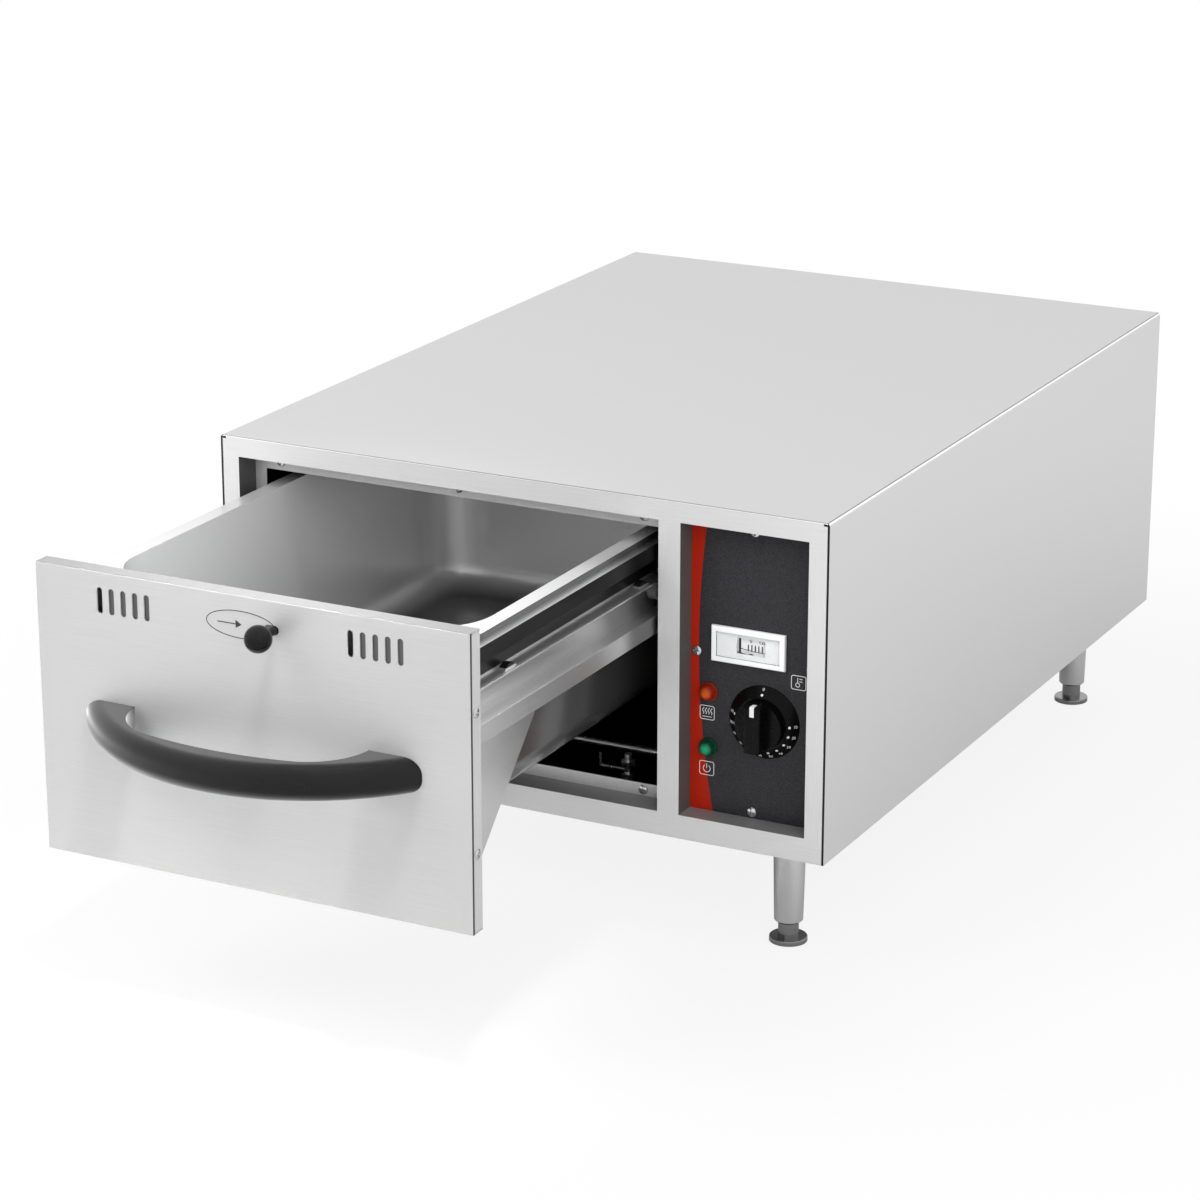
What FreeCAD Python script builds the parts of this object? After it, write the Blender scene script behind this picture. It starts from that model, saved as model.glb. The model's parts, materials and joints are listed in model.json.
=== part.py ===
"""Freestanding warming drawer: a steel cabinet on four legs with one heated drawer and a control panel.

Millimetres. +X is the user's right, +Y runs from the drawer front to the back, +Z is up and the floor is Z = 0.
The drawer is modelled standing open. Sizes are worked out from the food pan outwards.
"""
import FreeCAD, Part
import math
import os

# Sheet metal
SKIN = 1.2
LINER = 1.0
RAIL_SHEET = 1.5
SEAM = 0.6
FIT = 0.15
BEND = 3.0

# Food pan, a full-size steam-table pan
PAN_WIDTH = 325.0
PAN_LENGTH = 530.0
PAN_DEPTH = 150.0
PAN_RIM = 12.5
PAN_WALL = 1.0
PAN_TAPER = 9.0
PAN_CORNER = 50.0
PAN_FLOOR_ROUND = 24.0
PAN_LIP = 5.0
PAN_RIM_CORNER = 26.0
PAN_DROP_GAP = 1.5

# Pan frame on the drawer
RIM_LEDGE = 7.0
END_LEDGE = 8.0
PAN_FRAME_SKIRT = 12.5

# Cabinet front and its openings
FLANGE = 10.0
FLANGE_TOP = 14.0
FLANGE_DEPTH = 24.3
DRAWER_GAP = 3.5
RIM_GAP = 8.0
PAN_CLEAR = 58.5
FRAME_SIDE = 16.0
FRAME_TOP = 16.5
FRAME_BOTTOM = 19.0
MULLION = 18.0
RECESS_DEPTH = 19.5
CAVITY_GAP = 40.0
REAR_SPACE = 105.0
CASING_FLANGE = 14.0

# Drawer front
FRONT_GAP = 4.5
FRONT_GAP_TOP = 6.5
FRONT_GAP_LOW = 2.5
FRONT_THICK = 14.0
STOP_CLEAR = 0.9
DRAWER_OUT = 285.0
SIDE_SCREW_SPACING = 104.0

# Roller slides
RAIL_DROP = 50.5
RAIL_FLANGE = 12.0
RAIL_CHANNEL = 25.0
RAIL_LIP = 13.0
ROLLER_RADIUS = 8.0
ROLLER_WIDTH = 8.0
ROLLER_PLAY = 0.3
ROLLER_LIFT = 1.7
PIN_RADIUS = 3.0
PIN_PLAY = 0.06
PIN_HEAD = 4.6
RAIL_SPACE = 2.0
ROLLER_INSET = 14.0
GUSSET_LONG = 85.0
GUSSET_DROP = 88.0
CLIP_LENGTH = 16.0
CLIP_HEIGHT = 4.0
CLIP_SHARES = (0.12, 0.5, 0.88)

# Handle
HANDLE_SPAN = 280.0
HANDLE_OUT = 72.0
HANDLE_HEIGHT = 27.0
HANDLE_ROUND = 12.0
GRIP_SPAN = 194.0
GRIP_DEPTH = 50.0
BOLT_RADIUS = 2.5
BOLT_HEAD = 4.5
BOLT_PLAY = 0.08

# Drawer vent
SLOT_COUNT = 5
SLOT_PITCH = 10.0
SLOT_WIDTH = 4.6
SLOT_LENGTH = 19.6
SLOT_GROUP = 104.0
VENT_DROP = 21.5
VENT_TRAVEL = 5.0
VENT_SHEET = 1.0
VENT_EDGE = 5.0
VENT_KNOB_X = 22.5
BALL_RADIUS = 10.0
BALL_OUT = 21.0
STEM_RADIUS = 3.0
STEM_PLAY = 0.6

# Control panel
PANEL_THICK = 2.0
LAMP_DIAMETER = 15.0
LENS_SHARE = 0.86
LAMP_MARGIN = 7.7
CONTROL_GAP = 9.7
RING_DIAMETER = 57.8
RING_MARGIN = 13.8
RING_HEIGHT = 6.5
RING_SLOPE = 8.0
RING_BAND = 9.5
KNOB_RISE = 78.6
KNOB_HEIGHT = 23.0
KNOB_BASE = 12.0
KNOB_BAR = 13.0
KNOB_PLAY = 0.5
LAMP_RISE = 16.8
LAMP_SPACING = 44.5
GAUGE_WIDTH = 60.3
GAUGE_SHIFT = -3.9
GAUGE_HEIGHT = 27.9
GAUGE_OUT = 3.2
GAUGE_DEEP = 4.0
GAUGE_GAP = 13.9
GAUGE_BORDER = 4.0
GAUGE_BODY = 16.0
NEEDLE_REST = 78.0
NEEDLE_WIDTH = 0.8
NEEDLE_PIN = 1.0
NEEDLE_HUB = 1.9
SHAFT_RADIUS = 3.0
SHAFT_PLAY = 0.06
THERMOSTAT_SIZE = 38.0
THERMOSTAT_DEEP = 34.0

# Heating
ELEMENT_RADIUS = 3.25
ELEMENT_RISE = 21.0
ELEMENT_FRONT = 67.0
ELEMENT_BACK = 470.0
ELEMENT_LEFT = 40.0
ELEMENT_BEND = 30.0
ELEMENT_END = 22.0
BULB_RADIUS = 3.0
BULB_LENGTH = 90.0
BULB_RISE = 52.0
PROBE_INSET = 54.0
PROBE_GAP = 5.0
PROBE_STUD = 3.0
PROBE_HEIGHT = 20.0
PROBE_NUT = 6.0
PROBE_NUT_THICK = 4.5
PROBE_WIRE = 1.2
PROBE_REACH = 24.0
POST_WIDTH = 8.0
POST_LENGTH = 12.0
POST_CAP = 5.0
ELEMENT_NUT = 8.0
ELEMENT_NUT_THICK = 5.0
WALL_NEAR = 0.3

# Legs
LEG_INSET = 50.0
LEG_TUBE = 72.0
LEG_TOP_RADIUS = 12.7
LEG_LOW_RADIUS = 11.2
FOOT_NECK = 12.0
FOOT_NECK_RADIUS = 8.0
FOOT_DISC = 4.0
FOOT_RADIUS = 14.8
FOOT_STEM = 40.0
FOOT_TRAVEL_UP = 6.0
FOOT_PLAY = 0.08
STUD_RADIUS = 5.0
STUD_LENGTH = 12.0
STUD_PLAY = 0.1
LEG_NUT = 8.0
LEG_NUT_HEIGHT = 8.0
LEG_BORE_SPARE = 8.0

# Cord entry and fasteners
GLAND_BORE = 4.5
GLAND_RADIUS = 8.0
GLAND_NUT = 11.0
GLAND_OUT = 22.0
GLAND_INSET = 42.0
BLOCK_LENGTH = 50.0
BLOCK_WIDTH = 22.0
BLOCK_HEIGHT = 18.0
BLOCK_POLES = 5
BLOCK_HOLE = 2.5
LOOM_RADIUS = 4.0
SCREW_RADIUS = 2.0
SCREW_HEAD = 3.9
SCREW_RISE = 1.6
SCREW_PLAY = 0.1
SCREW_BITE = 4.0
PANEL_SCREW_LIFT = 11.0

# Widths, from the pan out to the cabinet
DRAWER_WIDTH = PAN_WIDTH + 2 * RIM_LEDGE
DRAWER_LENGTH = PAN_LENGTH + 2 * END_LEDGE
OPEN_WIDTH = DRAWER_WIDTH + 2 * (DRAWER_GAP + FLANGE)
OPEN_HEIGHT = FLANGE_TOP + RIM_GAP + PAN_DEPTH + PAN_CLEAR
CONTROL_WIDTH = LAMP_MARGIN + LAMP_DIAMETER + CONTROL_GAP + RING_DIAMETER + RING_MARGIN
CAB_WIDTH = 2 * FRAME_SIDE + OPEN_WIDTH + MULLION + CONTROL_WIDTH
CAB_HEIGHT = FRAME_BOTTOM + OPEN_HEIGHT + FRAME_TOP

# Places across the cabinet
CAB_LEFT = -CAB_WIDTH / 2
CAB_RIGHT = CAB_WIDTH / 2
OPEN_LEFT = CAB_LEFT + FRAME_SIDE
OPEN_RIGHT = OPEN_LEFT + OPEN_WIDTH
OPEN_X = (OPEN_LEFT + OPEN_RIGHT) / 2
CONTROL_LEFT = OPEN_RIGHT + MULLION
CONTROL_RIGHT = CONTROL_LEFT + CONTROL_WIDTH
CONTROL_X = (CONTROL_LEFT + CONTROL_RIGHT) / 2
LINER_HALF = OPEN_WIDTH / 2 + SKIN
DIVIDER_X = CONTROL_LEFT - SKIN - LINER

# Heights from the floor
CAB_Z = LEG_TUBE + FOOT_NECK + FOOT_DISC
CAB_TOP = CAB_Z + CAB_HEIGHT
OPEN_Z = CAB_Z + FRAME_BOTTOM
OPEN_TOP = OPEN_Z + OPEN_HEIGHT
RIM_Z = OPEN_TOP - FLANGE_TOP - RIM_GAP
LEDGE_Z = RIM_Z - PAN_LIP
FRONT_TOP = OPEN_TOP - FRONT_GAP_TOP
FRONT_LOW = OPEN_Z + FRONT_GAP_LOW
FRONT_Z = (FRONT_TOP + FRONT_LOW) / 2
RAIL_Z = FRONT_TOP - RAIL_DROP
CHANNEL_TOP = RAIL_Z - RAIL_SHEET
CHANNEL_LOW = CHANNEL_TOP - RAIL_CHANNEL
LIP_LOW = CHANNEL_LOW - RAIL_SHEET - RAIL_LIP
ROLLER_Z = CHANNEL_TOP - ROLLER_PLAY - ROLLER_RADIUS
FLOOR_Z = OPEN_Z - SKIN
ELEMENT_Z = FLOOR_Z + ELEMENT_RISE
KNOB_Z = OPEN_Z + KNOB_RISE
GAUGE_Z = KNOB_Z + RING_DIAMETER / 2 + GAUGE_GAP + GAUGE_HEIGHT / 2
LAMP_Z = KNOB_Z + LAMP_RISE
VENT_Z = FRONT_TOP - VENT_DROP

# Places along the depth, with the drawer standing open
FLANGE_BACK = FLANGE_DEPTH + SKIN
CLOSED_Y = FLANGE_DEPTH - FRONT_THICK - SCREW_RISE - STOP_CLEAR
FRONT_Y = CLOSED_Y - DRAWER_OUT
LINING_Y = FRONT_Y + FRONT_THICK
DRAWER_BACK = LINING_Y + DRAWER_LENGTH
CAVITY_BACK = DRAWER_BACK + DRAWER_OUT + CAVITY_GAP
CAB_DEPTH = CAVITY_BACK + REAR_SPACE
PANEL_BACK = RECESS_DEPTH + PANEL_THICK
FRONT_ROLLER_Y = FLANGE_BACK + ROLLER_RADIUS + RAIL_SPACE
REAR_ROLLER_Y = DRAWER_BACK - ROLLER_INSET
VENT_Y = FRONT_Y + SKIN + FIT
ORIGIN_Y = (FRONT_Y - HANDLE_OUT + CAB_DEPTH + GLAND_OUT) / 2

# Distances from the drawer's middle plane
RAIL_OUT = DRAWER_WIDTH / 2
RAIL_WEB = RAIL_OUT - RAIL_FLANGE
FIXED_WEB = LINER_HALF - RAIL_SHEET
FIXED_EDGE = RAIL_OUT + RAIL_SPACE
FRONT_HALF = OPEN_WIDTH / 2 - FRONT_GAP

# Items on the control panel
KNOB_X = CONTROL_RIGHT - RING_MARGIN - RING_DIAMETER / 2
GAUGE_X = CONTROL_X + GAUGE_SHIFT
LAMP_X = CONTROL_LEFT + LAMP_MARGIN + LAMP_DIAMETER / 2
LAMPS = {"heat_lamp": LAMP_Z, "power_lamp": LAMP_Z - LAMP_SPACING}
GLAND_X = CONTROL_RIGHT - GLAND_INSET
GLAND_Z = CAB_Z + GLAND_INSET

LEGS = {
    "front_left": (CAB_LEFT + LEG_INSET, LEG_INSET),
    "front_right": (CAB_RIGHT - LEG_INSET, LEG_INSET),
    "rear_left": (CAB_LEFT + LEG_INSET, CAB_DEPTH - LEG_INSET),
    "rear_right": (CAB_RIGHT - LEG_INSET, CAB_DEPTH - LEG_INSET),
}
SIDES = {"left": -1, "right": 1}

X_AXIS = FreeCAD.Vector(1, 0, 0)
Y_AXIS = FreeCAD.Vector(0, 1, 0)
Z_AXIS = FreeCAD.Vector(0, 0, 1)


def point(x, y, z):
    return FreeCAD.Vector(x, y, z)


def box(x0, x1, y0, y1, z0, z1):
    """Box between two corners, given in any order along X."""
    low = min(x0, x1)
    return Part.makeBox(abs(x1 - x0), y1 - y0, z1 - z0, point(low, y0, z0))


def rod(radius, start, end):
    """Round bar between two points."""
    along = end - start
    return Part.makeCylinder(radius, along.Length, start, along)


def joined(shapes):
    """One solid from pieces that touch or overlap."""
    return shapes[0].fuse(shapes[1:]).removeSplitter()


def group(shapes):
    """Separate solids kept in one node."""
    return Part.makeCompound(shapes)


def hexagon(centre, radius, across, up):
    """Flat six-sided face round a centre."""
    corners = []
    for i in range(7):
        angle = math.radians(60 * i)
        corners.append(centre + across * (radius * math.cos(angle)) + up * (radius * math.sin(angle)))
    return Part.Face(Part.makePolygon(corners))


def rounded_rectangle(x, y, z, width, length, corner):
    """Flat closed wire round the point x, y, z, with straight sides and round corners."""
    a = width / 2
    b = length / 2
    quarter = corner * (1 - math.sqrt(0.5))
    corners = [(1, -1), (1, 1), (-1, 1), (-1, -1)]
    edges = []
    last = None
    first = None
    for sx, sy in corners:
        enter = point(x + sx * a, y + sy * (b - corner), z)
        leave = point(x + sx * (a - corner), y + sy * b, z)
        if sx * sy < 0:
            enter, leave = leave, enter
        middle = point(x + sx * (a - quarter), y + sy * (b - quarter), z)
        if last is not None:
            edges.append(Part.makeLine(last, enter))
        else:
            first = enter
        edges.append(Part.Arc(enter, middle, leave).toShape())
        last = leave
    edges.append(Part.makeLine(last, first))
    return Part.Wire(edges)


def slot_hole(x, z, width, height, y0, y1):
    """Round-ended upright or lying slot, cut through from y0 to y1."""
    radius = min(width, height) / 2
    dx = width / 2 - radius
    dz = height / 2 - radius
    ends = [
        rod(radius, point(x - dx, y0, z - dz), point(x - dx, y1, z - dz)),
        rod(radius, point(x + dx, y0, z + dz), point(x + dx, y1, z + dz)),
    ]
    if dx > 0:
        bar = box(x - dx, x + dx, y0, y1, z - radius, z + radius)
    else:
        bar = box(x - radius, x + radius, y0, y1, z - dz, z + dz)
    return joined(ends + [bar])


def pan_head_screw(seat, outward):
    """Pan-head screw whose head stands on the seat and whose shank runs inward."""
    head = Part.makeCylinder(SCREW_HEAD, SCREW_RISE, seat, outward)
    top_edges = [e for e in head.Edges if e.CenterOfMass.sub(seat).dot(outward) > SCREW_RISE * 0.9]
    head = head.makeFillet(SCREW_RISE * 0.6, top_edges)
    shank = Part.makeCylinder(SCREW_RADIUS, SCREW_BITE, seat, outward * -1)
    return joined([head, shank])


def screw_hole(seat, outward):
    """Clearance hole for a pan-head screw."""
    start = seat + outward * SCREW_RISE
    return Part.makeCylinder(SCREW_RADIUS + SCREW_PLAY, SCREW_BITE + 2 * SCREW_RISE, start, outward * -1)


def round_edges(shape, radius, wanted):
    """Fillet the edges for which wanted(edge) holds."""
    return shape.makeFillet(radius, [e for e in shape.Edges if wanted(e)])


# Cabinet shells


def control_screw_seats():
    """Places of the four screws that hold the control panel to its flanges."""
    half_flange = FLANGE / 2
    middle = (OPEN_Z + OPEN_TOP) / 2 + PANEL_SCREW_LIFT
    return [
        point(CONTROL_X, RECESS_DEPTH, OPEN_TOP - half_flange),
        point(CONTROL_X, RECESS_DEPTH, OPEN_Z + half_flange),
        point(CONTROL_LEFT + half_flange, RECESS_DEPTH, middle),
        point(CONTROL_RIGHT - half_flange, RECESS_DEPTH, middle),
    ]


def flange_screw_seats():
    """Places of the screws that join the opening's flange to the liner's brackets."""
    reach = OPEN_WIDTH / 2 - 2 * FLANGE - SCREW_HEAD
    seats = []
    for dx in (-reach, 0.0, reach):
        seats.append(point(OPEN_X + dx, FLANGE_DEPTH, OPEN_TOP - FLANGE_TOP / 2))
        seats.append(point(OPEN_X + dx, FLANGE_DEPTH, OPEN_Z + FLANGE / 2))
    return seats


def back_screw_seats():
    """Places of the screws round the back panel."""
    inset = CASING_FLANGE / 2 + SKIN
    columns = (CAB_LEFT + inset, 0.0, CAB_RIGHT - inset)
    rows = (CAB_Z + inset, (CAB_Z + CAB_TOP) / 2, CAB_TOP - inset)
    seats = []
    for x in columns:
        for z in rows:
            if x != 0.0 or z != rows[1]:
                seats.append(point(x, CAB_DEPTH, z))
    return seats


def outer_casing():
    """Top and both sides, bent from one sheet, with a flange at the back for the rear panel."""
    quarter = BEND * (1 - math.sqrt(0.5))
    inner_bend = BEND - SKIN
    inner_quarter = inner_bend * (1 - math.sqrt(0.5))
    left = CAB_LEFT
    right = CAB_RIGHT
    top = CAB_TOP
    inside = SKIN
    outline = [
        Part.makeLine(point(left, 0, CAB_Z), point(left, 0, top - BEND)),
        Part.Arc(
            point(left, 0, top - BEND), point(left + quarter, 0, top - quarter), point(left + BEND, 0, top)
        ).toShape(),
        Part.makeLine(point(left + BEND, 0, top), point(right - BEND, 0, top)),
        Part.Arc(
            point(right - BEND, 0, top), point(right - quarter, 0, top - quarter), point(right, 0, top - BEND)
        ).toShape(),
        Part.makeLine(point(right, 0, top - BEND), point(right, 0, CAB_Z)),
        Part.makeLine(point(right, 0, CAB_Z), point(right - inside, 0, CAB_Z)),
        Part.makeLine(point(right - inside, 0, CAB_Z), point(right - inside, 0, top - BEND)),
        Part.Arc(
            point(right - inside, 0, top - BEND),
            point(right - inside - inner_quarter, 0, top - inside - inner_quarter),
            point(right - BEND, 0, top - inside),
        ).toShape(),
        Part.makeLine(point(right - BEND, 0, top - inside), point(left + BEND, 0, top - inside)),
        Part.Arc(
            point(left + BEND, 0, top - inside),
            point(left + inside + inner_quarter, 0, top - inside - inner_quarter),
            point(left + inside, 0, top - BEND),
        ).toShape(),
        Part.makeLine(point(left + inside, 0, top - BEND), point(left + inside, 0, CAB_Z)),
        Part.makeLine(point(left + inside, 0, CAB_Z), point(left, 0, CAB_Z)),
    ]
    shell = Part.Face(Part.Wire(outline)).extrude(point(0, CAB_DEPTH, 0))
    y0 = CAB_DEPTH - 2 * SKIN
    y1 = CAB_DEPTH - SKIN
    low = CAB_Z + SKIN + CASING_FLANGE
    wide = SKIN + CASING_FLANGE
    flanges = [
        box(left + SKIN, left + wide, y0, y1, low, top - BEND),
        box(right - wide, right - SKIN, y0, y1, low, top - BEND),
        box(left + BEND, right - BEND, y0, y1, top - wide, top - SKIN),
    ]
    casing = joined([shell] + flanges)
    return casing.cut([screw_hole(s, Y_AXIS) for s in back_screw_seats()])


def opening_return(x0, x1, depth, flange_side, flange_top):
    """Sheet walls running back from an opening's edge, with a flange turned inward at their end."""
    outer = box(x0 - SKIN, x1 + SKIN, 0, depth + SKIN, OPEN_Z - SKIN, OPEN_TOP + SKIN)
    mouth = box(x0, x1, 0, depth, OPEN_Z, OPEN_TOP)
    window = box(
        x0 + flange_side, x1 - flange_side, 0, depth + SKIN, OPEN_Z + flange_side, OPEN_TOP - flange_top
    )
    return outer.cut([mouth, window])


def front_frame():
    """Front frame with a deep opening for the drawer and a shallow one for the controls."""
    edge = CAB_WIDTH / 2 - SKIN - SEAM
    face = box(-edge, edge, 0, SKIN, CAB_Z + SKIN, CAB_TOP - BEND)
    holes = [
        box(OPEN_LEFT, OPEN_RIGHT, 0, SKIN, OPEN_Z, OPEN_TOP),
        box(CONTROL_LEFT, CONTROL_RIGHT, 0, SKIN, OPEN_Z, OPEN_TOP),
    ]
    crown = box(-edge + BEND, edge - BEND, 0, SKIN, CAB_TOP - BEND, CAB_TOP - SKIN)
    frame = joined([
        face.cut(holes),
        crown,
        opening_return(OPEN_LEFT, OPEN_RIGHT, FLANGE_DEPTH, FLANGE, FLANGE_TOP),
        opening_return(CONTROL_LEFT, CONTROL_RIGHT, PANEL_BACK, FLANGE, FLANGE),
    ])
    seats = control_screw_seats() + flange_screw_seats()
    return frame.cut([screw_hole(s, Y_AXIS * -1) for s in seats])


def back_panel():
    """Rear sheet with cooling slots behind the controls and a hole for the cord gland."""
    sheet = box(CAB_LEFT + SKIN, CAB_RIGHT - SKIN, CAB_DEPTH - SKIN, CAB_DEPTH, CAB_Z + SKIN, CAB_TOP - BEND)
    cuts = [screw_hole(s, Y_AXIS) for s in back_screw_seats()]
    gland = point(GLAND_X, CAB_DEPTH - 2 * SKIN, GLAND_Z)
    cuts.append(Part.makeCylinder(GLAND_RADIUS + STUD_PLAY, 3 * SKIN, gland, Y_AXIS))
    for row in range(-2, 3):
        z = (CAB_Z + CAB_TOP) / 2 + row * 2 * SLOT_PITCH
        cuts.append(slot_hole(CONTROL_X, z, CONTROL_WIDTH / 2, SLOT_WIDTH, CAB_DEPTH - 2 * SKIN, CAB_DEPTH + SKIN))
    return sheet.cut(cuts)


def base_panel():
    """Bottom sheet with a rear flange, cooling slots under the controls and holes for the leg studs."""
    sheet = box(CAB_LEFT + SKIN, CAB_RIGHT - SKIN, 0, CAB_DEPTH - SKIN, CAB_Z, CAB_Z + SKIN)
    y0 = CAB_DEPTH - 2 * SKIN
    flange = box(CAB_LEFT + SKIN, CAB_RIGHT - SKIN, y0, CAB_DEPTH - SKIN, CAB_Z, CAB_Z + SKIN + CASING_FLANGE)
    cuts = [screw_hole(s, Y_AXIS) for s in back_screw_seats()]
    for x, y in LEGS.values():
        cuts.append(Part.makeCylinder(STUD_RADIUS + STUD_PLAY, 3 * SKIN, point(x, y, CAB_Z - SKIN)))
    for row in range(-3, 4):
        y = CAB_DEPTH / 2 + row * 2 * SLOT_PITCH
        long = CONTROL_WIDTH / 4
        cuts.append(box(CONTROL_X - long, CONTROL_X + long, y, y + SLOT_WIDTH, CAB_Z - SKIN, CAB_Z + 2 * SKIN))
    return joined([sheet, flange]).cut(cuts)


# Heated cavity


def liner_side(side):
    """Upright wall of the heated cavity, lapped over the frame's return."""
    inner = OPEN_X + side * LINER_HALF
    outer = inner + side * LINER
    wall = box(inner, outer, FLANGE_DEPTH / 2, CAVITY_BACK, FLOOR_Z, OPEN_TOP + SKIN)
    if side < 0:
        return wall
    return wall.cut([element_hole(y) for y in (ELEMENT_FRONT, ELEMENT_BACK)] + [capillary_hole()])


def element_hole(y):
    """Hole for one end of the heating element, through the wall between cavity and controls."""
    start = point(OPEN_RIGHT, y, ELEMENT_Z)
    end = point(CONTROL_LEFT + SKIN, y, ELEMENT_Z)
    return rod(ELEMENT_RADIUS + STUD_PLAY, start, end)


def capillary_hole():
    """Hole for the sensor's capillary tube, through the same wall."""
    y = ELEMENT_FRONT + BULB_LENGTH
    z = FLOOR_Z + BULB_RISE
    return rod(BULB_RADIUS, point(OPEN_RIGHT, y, z), point(CONTROL_LEFT + SKIN, y, z))


def liner_deck(z0):
    """Floor or roof of the heated cavity."""
    half = LINER_HALF + LINER
    return box(OPEN_X - half, OPEN_X + half, FLANGE_DEPTH / 2, CAVITY_BACK, z0, z0 + LINER)


def liner_back():
    """Rear wall of the heated cavity."""
    half = LINER_HALF + LINER
    top = OPEN_TOP + SKIN + LINER
    return box(OPEN_X - half, OPEN_X + half, CAVITY_BACK, CAVITY_BACK + LINER, FLOOR_Z - LINER, top)


def insulation_boards():
    """Mineral boards round the cavity: floor, roof, both sides and back."""
    left = OPEN_X - LINER_HALF - LINER
    right = OPEN_X + LINER_HALF + LINER
    low = FLOOR_Z - LINER
    high = OPEN_TOP + SKIN + LINER
    front = PANEL_BACK + 2 * SKIN
    back = CAVITY_BACK + LINER
    floor = box(left, right, front, back, CAB_Z + SKIN, low)
    studs = [box(x - LEG_NUT - SKIN, x + LEG_NUT + SKIN, y - LEG_NUT - SKIN, y + LEG_NUT + SKIN, CAB_Z, low)
             for x, y in LEGS.values()]
    side = box(right, DIVIDER_X, front, back, CAB_Z + SKIN, CAB_TOP - SKIN)
    holes = [element_hole(y) for y in (ELEMENT_FRONT, ELEMENT_BACK)] + [capillary_hole()]
    return group([
        floor.cut(studs),
        box(left, right, front, back, high, CAB_TOP - SKIN),
        box(CAB_LEFT + SKIN, left, front, back, CAB_Z + SKIN, CAB_TOP - BEND).cut(studs),
        side.cut(holes),
        box(left, right, back, back + FRAME_BOTTOM, CAB_Z + SKIN, high),
    ])


def control_divider():
    """Sheet wall between the insulation and the control space."""
    wall = box(DIVIDER_X, DIVIDER_X + LINER, PANEL_BACK + SKIN, CAB_DEPTH - 2 * SKIN, CAB_Z + SKIN, CAB_TOP - SKIN)
    y0 = CAB_DEPTH - 2 * SKIN
    room = box(DIVIDER_X, DIVIDER_X + LINER, y0 - LINER, y0 + SKIN, CAB_Z, CAB_TOP)
    holes = [element_hole(y) for y in (ELEMENT_FRONT, ELEMENT_BACK)] + [capillary_hole()]
    return wall.cut(holes + [room])


def heating_element():
    """Tubular element lying over the cavity floor, both ends through the wall to the controls."""
    z = ELEMENT_Z
    r = ELEMENT_BEND
    quarter = r * (1 - math.sqrt(0.5))
    x0 = OPEN_X - LINER_HALF + ELEMENT_LEFT
    x1 = DIVIDER_X + ELEMENT_END
    y0 = ELEMENT_FRONT
    y1 = ELEMENT_BACK
    path = Part.Wire([
        Part.makeLine(point(x1, y0, z), point(x0 + r, y0, z)),
        Part.Arc(point(x0 + r, y0, z), point(x0 + quarter, y0 + quarter, z), point(x0, y0 + r, z)).toShape(),
        Part.makeLine(point(x0, y0 + r, z), point(x0, y1 - r, z)),
        Part.Arc(point(x0, y1 - r, z), point(x0 + quarter, y1 - quarter, z), point(x0 + r, y1, z)).toShape(),
        Part.makeLine(point(x0 + r, y1, z), point(x1, y1, z)),
    ])
    section = Part.Wire([Part.makeCircle(ELEMENT_RADIUS, point(x1, y0, z), X_AXIS)])
    return path.makePipeShell([section], True, False)


def element_mounts():
    """Posts that carry the element over the floor, and the nuts that hold its ends at the wall."""
    pieces = []
    half = POST_WIDTH / 2
    long = POST_LENGTH / 2
    hole = ELEMENT_RADIUS + STUD_PLAY
    for y in (ELEMENT_FRONT, ELEMENT_BACK):
        post = box(OPEN_X - half, OPEN_X + half, y - long, y + long, FLOOR_Z, ELEMENT_Z + POST_CAP)
        wall = point(OPEN_X + LINER_HALF, y, ELEMENT_Z)
        nut = hexagon(wall, ELEMENT_NUT, Y_AXIS, Z_AXIS).extrude(X_AXIS * -ELEMENT_NUT_THICK)
        along = rod(hole, point(OPEN_X - POST_WIDTH, y, ELEMENT_Z), wall)
        pieces.append(post.cut(along))
        pieces.append(nut.cut(along))
    return group(pieces)


def thermostat_bulb():
    """Sensing bulb along the cavity wall, with its thin tube running to the thermostat."""
    z = FLOOR_Z + BULB_RISE
    x = OPEN_X + LINER_HALF - BULB_RADIUS - WALL_NEAR
    y0 = ELEMENT_FRONT + BULB_LENGTH
    y1 = y0 + BULB_LENGTH
    thin = BULB_RADIUS / 3
    corner = point(KNOB_X, y0, z)
    return joined([
        rod(BULB_RADIUS, point(x, y0 - BULB_RADIUS, z), point(x, y1, z)),
        rod(thin, point(x, y0, z), corner),
        Part.makeSphere(thin, corner),
        rod(thin, corner, point(KNOB_X, PANEL_BACK + THERMOSTAT_DEEP, z)),
    ])


def gauge_probe():
    """Thermometer probe: a stud on the cavity floor with two nuts and a bent sensing wire."""
    x = OPEN_X + LINER_HALF - PROBE_INSET
    y = ELEMENT_FRONT - ELEMENT_RADIUS - PROBE_GAP - PROBE_STUD
    low = point(x, y, FLOOR_Z)
    wire_z = FLOOR_Z + PROBE_HEIGHT / 3
    turn = point(x - PROBE_REACH, y, wire_z)
    pieces = [
        rod(PROBE_STUD, low, low + Z_AXIS * PROBE_HEIGHT),
        rod(PROBE_WIRE, point(x, y, wire_z), turn),
        Part.makeSphere(PROBE_WIRE, turn),
        rod(PROBE_WIRE, turn, turn + Z_AXIS * (PROBE_HEIGHT / 2)),
    ]
    for rise in (0.0, PROBE_HEIGHT / 2):
        nut = hexagon(low + Z_AXIS * rise, PROBE_NUT, X_AXIS, Y_AXIS)
        pieces.append(nut.extrude(Z_AXIS * PROBE_NUT_THICK))
    return joined(pieces)


# Legs


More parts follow.
